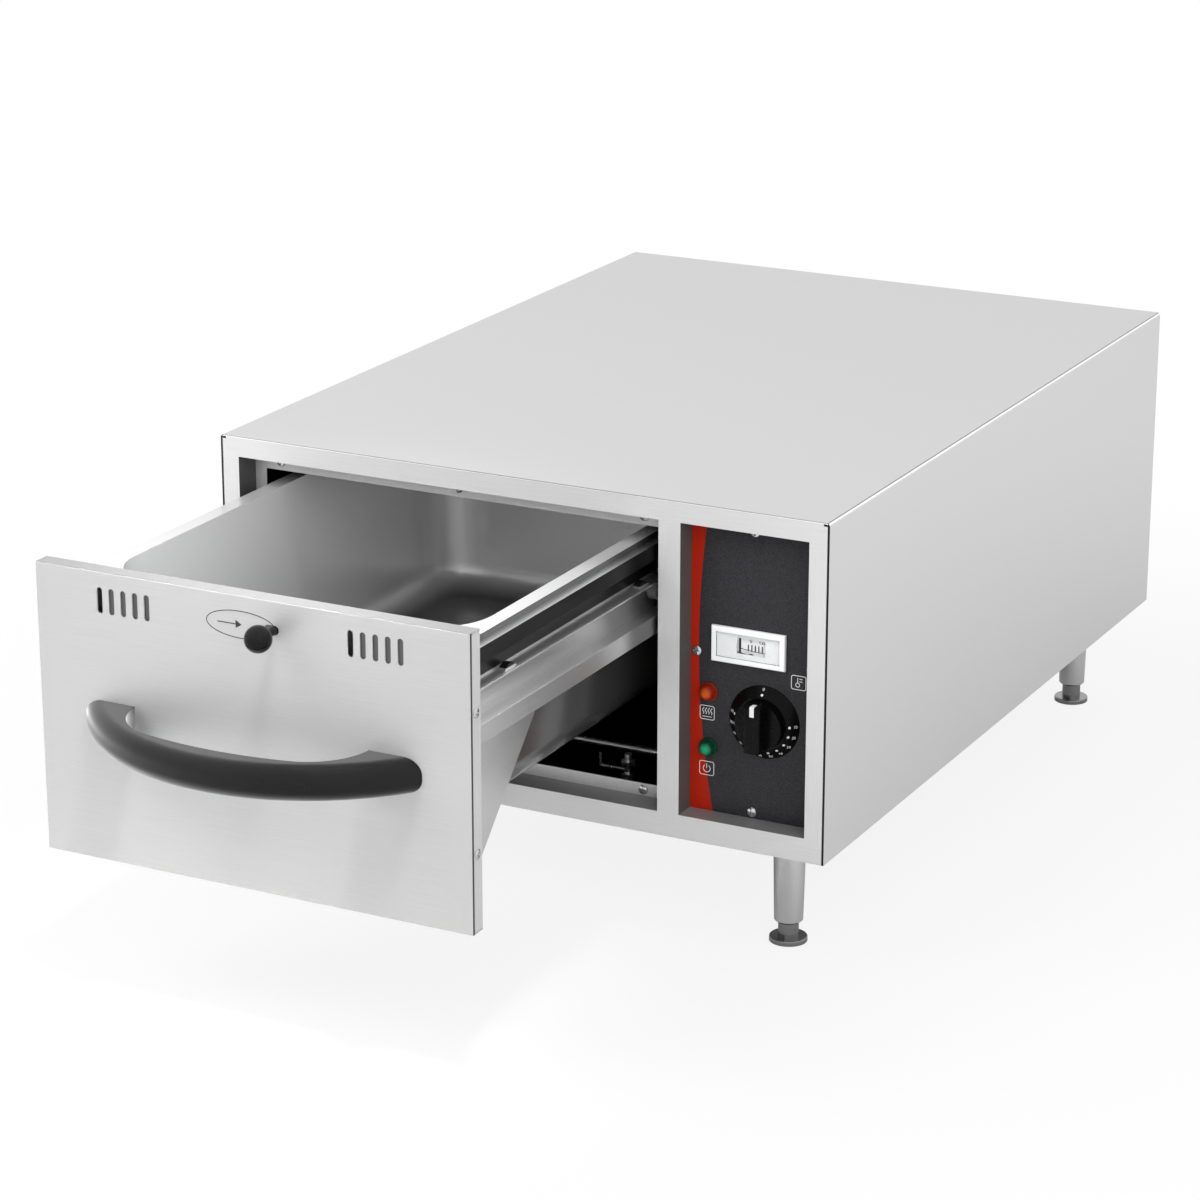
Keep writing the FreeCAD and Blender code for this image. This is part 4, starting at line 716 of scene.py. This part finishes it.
def slot_materials():
    """Materials by the record's slot."""
    return {
        "satin_steel": casing_steel("casing_steel", 0.685, 0.42),
        "pan_steel": pan_steel("pan_steel", 0.78, 0.33),
        "rail_steel": brushed_steel("rail_steel", 0.78, 0.32, RAIL_LINES, 0.02, 0.03),
        # Liner steel tone painted dark, as the shade in the cavity.
        "liner_steel": plain_metal("liner_steel", 0.15, 0.34),
        "element_sheath": plain_metal("element_sheath", 0.42, 0.30),
        "bright_chrome": plain_metal("bright_chrome", 0.66, 0.12, 0.03),
        "screw_steel": plain_metal("screw_steel", 0.62, 0.14),
        "shaft_steel": plain_metal("shaft_steel", 0.65, 0.25),
        "probe_steel": plain_metal("probe_steel", 0.62, 0.28),
        "sensor_copper": copper("sensor_copper"),
        "mineral_board": mineral_board("mineral_board"),
        "black_gloss": glossy("black_gloss", (0.004, 0.004, 0.004), 0.17, 0.15),
        "panel_black": glossy("panel_black", (0.024, 0.0235, 0.027), 0.5, 0.25, 1000.0, 0.0002, 0.5),
        "knob_black": glossy("knob_black", (0.002, 0.002, 0.002), 0.28, 0.1, 1100.0),
        "housing_plastic": plastic("housing_plastic", (0.06, 0.06, 0.062), 0.5),
        "wire_sleeve": plastic("wire_sleeve", (0.05, 0.05, 0.05), 0.6, 500.0, 0.0001),
        "gauge_white": plastic("gauge_white", (0.9, 0.9, 0.91), 0.30, contrast=0.02),
        "dial_white": plastic("dial_white", (0.95, 0.95, 0.95), 0.6, contrast=0.02),
        "needle_black": plastic("needle_black", (0.02, 0.02, 0.02), 0.4),
        "window_clear": clear_window("window_clear"),
        "lamp_amber": signal_lens("lamp_amber", "heat_lamp", (0.2, 0.012, 0.003), (0.5, 0.07, 0.004)),
        "lamp_green": signal_lens("lamp_green", "power_lamp", (0.001, 0.04, 0.018), (0.010, 0.30, 0.14)),
        "roller_nylon": plastic("roller_nylon", (0.16, 0.16, 0.165), 0.4),
    }


def dress_solids(slots):
    """Give every solid a material: its slot's, or its own where its brushing, finish or painted shade
    differs.
    """
    own = {
        "front_frame": frame_steel("frame_steel", 0.72, 0.58),
        "drawer_front": front_steel("drawer_steel", 0.51, 0.48),
        "drawer_rail_left": rail_steel("drawer_rail_left_steel", 0.7, 0.32),
        "drawer_rail_right": rail_steel("drawer_rail_right_steel", 0.7, 0.32),
        "drawer_handle": black_handle("handle_black", 0.004, 0.26, 0.18),
        "pan_frame": ledge_steel("ledge_steel", 0.75, 0.4),
        # Vent plate in a dark steel tone, painted as the shade behind the slots.
        "vent_plate": plain_metal("vent_plate_steel", 0.14, 0.4),
    }
    # Feet in a darker, duller steel; the dark tone also stands in for the reflection from under the cabinet,
    # as painted shade.
    foot = plain_metal("foot_steel", 0.3, 0.25)
    own.update({"foot_" + corner: foot for corner in CORNERS})
    for entry in frame["record"]["subparts"]:
        name = entry["node"]
        solid = nodes[name].data
        solid.materials.clear()
        solid.materials.append(own.get(name) or slots[entry["material_slot"]])


# Edges


def soften(node):
    """Round a sheet's sharp edges a little."""
    solid = nodes[node]
    weld = solid.modifiers.new("weld", "WELD")
    weld.merge_threshold = EDGE_WELD
    flatten = solid.modifiers.new("flatten", "DECIMATE")
    flatten.decimate_type = "DISSOLVE"
    flatten.angle_limit = math.radians(FLAT_ANGLE)
    bevel = solid.modifiers.new("bevel", "BEVEL")
    bevel.width = EDGE_ROUND
    bevel.segments = EDGE_STEPS
    bevel.limit_method = "ANGLE"
    bevel.angle_limit = math.radians(ROUND_ANGLE)
    split = solid.modifiers.new("split", "EDGE_SPLIT")
    split.split_angle = math.radians(SPLIT_ANGLE)
    normals = solid.modifiers.new("normals", "WEIGHTED_NORMAL")
    normals.weight = FLAT_WEIGHT


# Screws


def islands(node):
    """Boxes of a node's separate solids, in the order of its vertices."""
    solid = bmesh.new()
    solid.from_mesh(nodes[node].data)
    bmesh.ops.remove_doubles(solid, verts=solid.verts, dist=SAME_POINT)
    solid.verts.index_update()
    met = set()
    boxes = []
    for first in solid.verts:
        if first.index in met:
            continue
        met.add(first.index)
        island = [first]
        for vertex in island:
            for edge in vertex.link_edges:
                other = edge.other_vert(vertex)
                if other.index not in met:
                    met.add(other.index)
                    island.append(other)
        low = Vector([min(v.co[i] for v in island) for i in range(3)])
        high = Vector([max(v.co[i] for v in island) for i in range(3)])
        boxes.append((low, high))
    solid.free()
    return boxes


def add_ring(shape, place, radius, height, dent=0.0, reach=0.0, width=0.0):
    """Ring of a turned form, dented where it crosses the arms of a cross."""
    ring = []
    for i in range(SCREW_SIDES):
        turn = 2 * math.pi * i / SCREW_SIDES
        x = radius * math.cos(turn)
        y = radius * math.sin(turn)
        inside = min(abs(x), abs(y)) < width and radius < reach
        ring.append(shape.verts.new(place @ Vector((x, y, height - dent * inside))))
    return ring


def add_screw(shape, place, head, length):
    """Domed screw with a cross recess, its head's seat at a place."""
    shank = head * SHANK_SHARE
    rim = SCREW_RISE * RIM_SHARE
    reach = head * CROSS_REACH
    width = head * CROSS_WIDTH
    rings = [add_ring(shape, place, r, h) for r, h in ((shank, -length), (shank, 0), (head, 0), (head, rim))]
    for i in range(1, SCREW_RINGS):
        radius = head * (1 - i / SCREW_RINGS)
        height = rim + (SCREW_RISE - rim) * math.sqrt(1 - (radius / head) ** 2)
        rings.append(add_ring(shape, place, radius, height, SCREW_RISE / 2, reach, width))
    for low, high in zip(rings, rings[1:]):
        for i in range(SCREW_SIDES):
            j = (i + 1) % SCREW_SIDES
            shape.faces.new((low[i], low[j], high[j], high[i]))
    shape.faces.new(rings[0])
    tip = shape.verts.new(place @ Vector((0, 0, SCREW_RISE / 2)))
    for i in range(SCREW_SIDES):
        shape.faces.new((rings[-1][i], rings[-1][(i + 1) % SCREW_SIDES], tip))


def screw_set(node, out_of, body, slots):
    """Detailed screws in place of a node's plain ones; out_of gives a screw's direction from its centre."""
    shape = bmesh.new()
    for low, high in islands(node):
        centre = (low + high) / 2
        out = out_of(centre)
        span = Vector([abs(c) for c in high - low])
        length = span.dot(Vector([abs(c) for c in out]))
        head = max(c for c, o in zip(span, out) if abs(o) < 0.5) / 2
        seat = centre + out * (length / 2 - SCREW_RISE)
        up = UP if abs(out.z) < 0.5 else FRONT
        add_screw(shape, facing(seat, out, up), head, length - SCREW_RISE)
    piece = new_piece(node + "_detailed", shape, body, slots["screw_steel"])
    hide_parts(node)


def screws(slots):
    """Detailed screws in place of all the plain ones."""
    drawer_middle = middle("drawer_front").x
    screw_set("panel_screws", lambda c: FRONT, "cabinet", slots)
    screw_set("flange_screws", lambda c: FRONT, "cabinet", slots)
    screw_set("back_screws", lambda c: BACK, "cabinet", slots)
    screw_set("front_side_screws", lambda c: RIGHT if c.x > drawer_middle else -RIGHT, "drawer", slots)


# Control panel prints


def on_panel(x, z):
    """Point on the panel's face."""
    return Vector((x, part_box("control_panel")[0].y, z))


def panel_band(red):
    """Red band along the panel's left edge, narrowest at its waist."""
    low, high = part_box("control_panel")
    tall = high.z - low.z
    heights = [tall * i / BAND_STEPS for i in range(BAND_STEPS + 1)]
    curve = [(BAND_WAIST + (h - BAND_WAIST_RISE) ** 2 / (2 * BAND_RADIUS), h) for h in heights]
    drawing = bmesh.new()
    for (w0, h0), (w1, h1) in zip(curve, curve[1:]):
        plate(drawing, ((0, h0), (w0, h0), (w1, h1), (0, h1)))
    bmesh.ops.remove_doubles(drawing, verts=drawing.verts, dist=SAME_POINT)
    place = facing(on_panel(low.x, low.z), FRONT)
    ink("panel_band", drawing, place, "cabinet", red, INK_RISE / 2)


def under_lamp(lamp):
    """Place of an icon below a signal lamp."""
    centre = middle(lamp)
    return facing(on_panel(centre.x + ICON_SHIFT, centre.z - ICON_DROP), FRONT)


def icon_frame(drawing):
    outline = rounded_frame(ICON_WIDTH, ICON_HEIGHT, ICON_CORNER, ICON_CORNER_STEPS)
    stroke(drawing, outline, closed=True)


def heat_icon(white):
    """Four waves over a bar."""
    drawing = bmesh.new()
    icon_frame(drawing)
    for i in range(WAVES):
        x = ICON_WIDTH * (i - (WAVES - 1) / 2) * WAVE_SHARE
        wave = []
        for step in range(WAVE_STEPS + 1):
            rise = WAVE_LOW + WAVE_HEIGHT * step / WAVE_STEPS
            wave.append((x + WAVE_SWING * math.sin(step * WAVE_TURN), rise))
        stroke(drawing, wave)
    stroke(drawing, ((-HEAT_BAR / 2, HEAT_BAR_LOW), (HEAT_BAR / 2, HEAT_BAR_LOW)))
    ink("heat_icon", drawing, under_lamp("heat_lamp"), "cabinet", white)


def power_icon(white):
    """Open circle with a bar at its top."""
    drawing = bmesh.new()
    icon_frame(drawing)
    stroke(drawing, arc(0, POWER_LOW, POWER_RADIUS, POWER_RADIUS, POWER_START, POWER_END, POWER_STEPS))
    stroke(drawing, ((0, POWER_BAR_LOW), (0, POWER_BAR_HIGH)))
    ink("power_icon", drawing, under_lamp("power_lamp"), "cabinet", white)


def probe_icon(white):
    """Thermometer with a bulb and two ticks."""
    drawing = bmesh.new()
    icon_frame(drawing)
    bulb = arc(STEM_SHIFT, BULB_LOW, BULB_RADIUS, BULB_RADIUS, 0, 360, ROUND_STEPS)[:-1]
    stroke(drawing, bulb, closed=True)
    stroke(drawing, ((STEM_SHIFT, BULB_LOW + BULB_RADIUS), (STEM_SHIFT, STEM_HIGH)))
    for height in PROBE_TICKS:
        stroke(drawing, ((PROBE_TICK_START, height), (PROBE_TICK_END, height)))
    place = facing(on_panel(*(middle("dial_ring") + PROBE_ICON).xz), FRONT)
    ink("probe_icon", drawing, place, "cabinet", white)


# Dial


def on_dial(clock, radius):
    """Place on the dial's cone at an angle clockwise from the top."""
    low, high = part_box("dial_ring")
    rim = (high.x - low.x) / 2
    rise = high.y - low.y
    turn = math.radians(clock)
    spoke = Vector((math.sin(turn), 0, math.cos(turn)))
    foot = middle("dial_ring") + spoke * radius
    foot.y = high.y - rise * (rim - radius) / RING_SLOPE
    return facing(foot, spoke * rise + FRONT * RING_SLOPE)


def dial_print(white):
    """Dots and plain numbers round the dial, with zero at the top."""
    drawing = bmesh.new()
    plate(drawing, disc(DOT_RADIUS), on_dial(0, DOT_RING))
    number(drawing, 0, NUMBER_SIZE, on_dial(0, NUMBER_RING))
    for i in range(DOT_COUNT):
        clock = DOT_START + (DOT_END - DOT_START) * i / (DOT_COUNT - 1)
        plate(drawing, disc(DOT_RADIUS), on_dial(clock, DOT_RING))
        number(drawing, NUMBER_STEP * (i + 1), NUMBER_SIZE, on_dial(clock, NUMBER_RING))
    ink("dial_print", drawing, Matrix(), "cabinet", white)


def knob_mark(white):
    """White mark on the knob's grip, from its front over its upper end."""
    low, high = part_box("thermostat_knob")
    radius = (high.x - low.x) / 2
    axis = middle("dial_ring")
    line = [(radius - MARK_LENGTH, 0.0)]
    bend = arc(0, 0, KNOB_EDGE, KNOB_EDGE, -90, 0, MARK_STEPS)
    line += [(radius - KNOB_EDGE + x, KNOB_EDGE + y) for x, y in bend]
    line.append((radius, MARK_BACK))
    shape = bmesh.new()
    rows = []
    for reach, depth in line:
        row = []
        for i in range(MARK_STEPS + 1):
            x = MARK_WIDTH * (i / MARK_STEPS - 0.5)
            z = reach - radius + math.sqrt(radius ** 2 - x ** 2)
            row.append(shape.verts.new((axis.x + x, low.y + depth, axis.z + z)))
        rows.append(row)
    for row, other in zip(rows, rows[1:]):
        for i in range(MARK_STEPS):
            shape.faces.new((row[i], row[i + 1], other[i + 1], other[i]))
    ink("knob_mark", shape, Matrix(), "thermostat_control", white)


# Thermometer face


def gauge_print(black):
    """Upright bar of painted shadow at the opening's left edge, ticks on a curved base line, and two plain
    numbers.
    """
    low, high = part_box("gauge_dial")
    drawing = bmesh.new()
    # Painted shadow cast by the cover opening's left wall.
    bar = FACE_LEFT + WALL_SHADOW_WIDTH / 2
    stroke(drawing, ((bar, FACE_LOW), (bar, FACE_HIGH)), WALL_SHADOW_WIDTH)
    for i in range(TICK_COUNT):
        x = TICK_START + TICK_SPAN * i / (TICK_COUNT - 1)
        stroke(drawing, ((x, TICK_RISE), (x, TICK_RISE + TICK_HEIGHT)), TICK_WIDTH)
    run = [i / SAG_STEPS for i in range(SAG_STEPS + 1)]
    curve = [(bar + (TICK_START + TICK_SPAN - bar) * r, TICK_RISE + TICK_SAG * (1 - r) ** 2) for r in run]
    stroke(drawing, curve, TICK_WIDTH / 2)
    rise = TICK_RISE + TICK_HEIGHT + FACE_NUMBER * FACE_NUMBER_RISE
    for share, value in ((FACE_FIRST, 0), (FACE_LAST, FACE_TOP)):
        number(drawing, value, FACE_NUMBER, Matrix.Translation((TICK_START + TICK_SPAN * share, rise, 0)))
    centre = (low + high) / 2
    place = facing(Vector((centre.x, low.y, centre.z)), FRONT)
    ink("gauge_print", drawing, place, "cabinet", black)


def gauge_cover(white):
    """White cover over the needle's hub, with an opening for the scale."""
    low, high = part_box("gauge_dial")
    centre = (low + high) / 2
    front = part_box("gauge_window")[1].y
    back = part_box("gauge_needle")[0].y
    half = (high.x - low.x) / 2
    tall = (high.z - low.z) / 2
    columns = (-half, FACE_LEFT, FACE_RIGHT, half)
    rows = (-tall, FACE_LOW, FACE_HIGH, tall)
    drawing = bmesh.new()
    for i in range(3):
        for j in range(3):
            if (i, j) != (1, 1):
                x0, x1 = columns[i:i + 2]
                y0, y1 = rows[j:j + 2]
                plate(drawing, ((x0, y0), (x1, y0), (x1, y1), (x0, y1)))
    bmesh.ops.remove_doubles(drawing, verts=drawing.verts, dist=SAME_POINT)
    place = facing(Vector((centre.x, (front + back) / 2, centre.z)), FRONT)
    ink("gauge_cover", drawing, place, "cabinet", white, (back - front) / 6)


# Seams


def seam(name, side, black):
    """Joint line down the drawer front's side, just behind its front edge, with the shadow in its gap painted
    dark.
    """
    low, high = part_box("drawer_front")
    x = high.x if side > 0 else low.x
    drawing = bmesh.new()
    tall = high.z - low.z
    plate(drawing, ((0, 0), (SEAM_WIDTH, 0), (SEAM_WIDTH, tall), (0, tall)))
    start = low.y + SEAM_SET if side > 0 else low.y + SEAM_SET + SEAM_WIDTH
    place = facing(Vector((x, start, low.z)), RIGHT * side)
    ink(name, drawing, place, "drawer", black, INK_RISE / 2)


# Drawer front


def drawer_sign(black):
    """Outlined ellipse with a plain sliding arrow."""
    low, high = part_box("drawer_front")
    drawing = bmesh.new()
    outline = arc(0, 0, SIGN_WIDTH / 2, SIGN_HEIGHT / 2, 0, 360, SIGN_STEPS)[:-1]
    stroke(drawing, outline, LINE * SIGN_LINE, closed=True)
    start = -SIGN_WIDTH * ARROW_START
    tip = start + ARROW_LENGTH
    stroke(drawing, ((start, 0), (tip - ARROW_HEAD / 2, 0)), LINE * ARROW_LINE)
    back = tip - ARROW_HEAD
    spread_half = ARROW_HEAD * ARROW_SPREAD
    plate(drawing, ((tip, 0), (back, spread_half), (back, -spread_half)))
    x = (low.x + high.x) / 2 + SIGN_SHIFT
    place = facing(Vector((x, low.y, high.z - SIGN_DROP)), FRONT)
    ink("drawer_sign", drawing, place, "drawer", black)


# Stage


def ray_share(made, *kinds):
    """1 for rays of the named kinds."""
    ray = node_of(made, "ShaderNodeLightPath")
    share = ray.outputs[kinds[0]]
    for kind in kinds[1:]:
        share = maths(made, "MAXIMUM", share, ray.outputs[kind])
    return share


def away_from_object(made):
    """Distance on the floor from the object's box."""
    centre = (cad_low + cad_high) / 2
    half = (cad_high - cad_low) / 2
    out = node_of(made, "ShaderNodeTexCoord").outputs["Object"]
    steps = (("SUBTRACT", centre), ("ABSOLUTE", None), ("SUBTRACT", half), ("MAXIMUM", Vector()))
    for operation, value in steps:
        step = node_of(made, "ShaderNodeVectorMath")
        step.operation = operation
        link(made, out, step.inputs[0])
        if value is not None:
            step.inputs[1].default_value = (value.x, value.y, 0.0)
        out = step.outputs["Vector"]
    length = node_of(made, "ShaderNodeVectorMath")
    length.operation = "LENGTH"
    link(made, out, length.inputs[0])
    return length.outputs["Value"]


def studio_floor():
    """Pale floor that fades to plain white away from the object and keeps its shadow close to it."""
    corners = [(x * FLOOR_HALF, y * FLOOR_HALF, 0) for x, y in ((-1, -1), (1, -1), (1, 1), (-1, 1))]
    mesh = bpy.data.meshes.new("floor")
    mesh.from_pydata(corners, [], [(0, 1, 2, 3)])
    floor = bpy.data.objects.new("floor", mesh)
    floor.location.z = -FLOOR_DROP
    scene.collection.objects.link(floor)
    paint, shader = principled("floor_paint", (FLOOR_TONE,) * 3, 0.9)
    shader.inputs["Specular IOR Level"].default_value = 0.0
    reach = away_from_object(paint)
    seen = spread(paint, reach, SHADOW_WHITE, 1.0, SHADOW_START, SHADOW_END)
    mirrored = spread(paint, reach, MIRROR_WHITE, 1.0, 0.0, MIRROR_END)
    to_camera = maths(paint, "MULTIPLY", ray_share(paint, "Is Camera Ray"), seen)
    to_gloss = maths(paint, "MULTIPLY", ray_share(paint, "Is Glossy Ray", "Is Transmission Ray"), mirrored)
    glow = node_of(paint, "ShaderNodeEmission", Strength=1.0)
    mix = node_of(paint, "ShaderNodeMixShader")
    link(paint, maths(paint, "MAXIMUM", to_camera, to_gloss), mix.inputs[0])
    link(paint, shader.outputs["BSDF"], mix.inputs[1])
    link(paint, glow.outputs["Emission"], mix.inputs[2])
    link(paint, mix.outputs["Shader"], paint.node_tree.nodes["Material Output"].inputs["Surface"])
    mesh.materials.append(paint)


def studio_world():
    """White to the camera and in reflections, and a soft grey room as light."""
    world = bpy.data.worlds.new("studio")
    world.use_nodes = True
    scene.world = world
    room = world.node_tree.nodes["Background"]
    room.inputs["Color"].default_value = (1, 1, 1, 1)
    room.inputs["Strength"].default_value = ROOM_LIGHT
    white = node_of(world, "ShaderNodeBackground", Color=(1, 1, 1, 1), Strength=1.0)
    mix = node_of(world, "ShaderNodeMixShader")
    link(world, ray_share(world, "Is Camera Ray", "Is Glossy Ray", "Is Transmission Ray"), mix.inputs[0])
    link(world, room.outputs["Background"], mix.inputs[1])
    link(world, white.outputs["Background"], mix.inputs[2])
    link(world, mix.outputs["Shader"], world.node_tree.nodes["World Output"].inputs["Surface"])


def softbox(name, place, target, width, height, power, cone=180.0):
    """Rectangular lamp that faces a point, lights within a cone, and doesn't show in metal and gloss."""
    lamp = bpy.data.lights.new(name, "AREA")
    lamp.shape = "RECTANGLE"
    lamp.size = width
    lamp.size_y = height
    lamp.energy = power
    lamp.spread = math.radians(cone)
    holder = bpy.data.objects.new(name, lamp)
    holder.location = place
    holder.visible_glossy = False
    holder.rotation_euler = (target - Vector(place)).to_track_quat("-Z", "Y").to_euler()
    scene.collection.objects.link(holder)


def studio_lamps():
    """Lamps in front of the object, and a narrow one over the pan."""
    softbox("key", (-1.3, -1.4, 2.2), CABINET_AIM, 1.4, 1.0, 30.0)
    softbox("strip", (-0.9, -1.1, 1.0), FRONT_AIM, 0.7, 0.4, 9.0)
    softbox("fill", (1.7, -1.5, 1.2), CABINET_AIM, 1.5, 1.5, 26.0)
    softbox("glint", (-2.2, -1.0, 1.0), HANDLE_AIM, 1.0, 0.5, 8.0)
    softbox("pan_light", (0.2, -0.62, 1.5), PAN_AIM, 0.25, 0.25, 1.1, cone=22.0)


def photo_camera():
    """Camera at the photograph's place and angle."""
    data = bpy.data.cameras.new("camera")
    data.lens = CAMERA_LENS
    data.sensor_width = SENSOR
    camera = bpy.data.objects.new("camera", data)
    camera.location = CAMERA_PLACE
    camera.rotation_euler = (math.radians(90 - CAMERA_ELEVATION), 0.0, math.radians(CAMERA_AZIMUTH))
    scene.collection.objects.link(camera)
    scene.camera = camera


def build():
    """Dress the solids, add the prints and small parts, and set the stage."""
    slots = slot_materials()
    white = plastic("white_ink", (0.78, 0.78, 0.78), 0.5, contrast=0.03)
    black = plastic("black_ink", (0.02, 0.02, 0.02), 0.5)
    red = glossy("red_ink", (0.4, 0.014, 0.003), 0.45, 0.15, 1500.0, contrast=0.05)
    dress_solids(slots)
    for name in SOFT_EDGES:
        soften(name)
    screws(slots)
    panel_band(red)
    heat_icon(white)
    power_icon(white)
    probe_icon(white)
    dial_print(white)
    knob_mark(white)
    gauge_print(black)
    gauge_cover(slots["gauge_white"])
    for side, word in ((1, "right"), (-1, "left")):
        seam("front_seam_" + word, side, black)
    drawer_sign(black)
    studio_floor()
    studio_world()
    studio_lamps()
    photo_camera()
    scene.view_settings.view_transform = "Standard"


build()
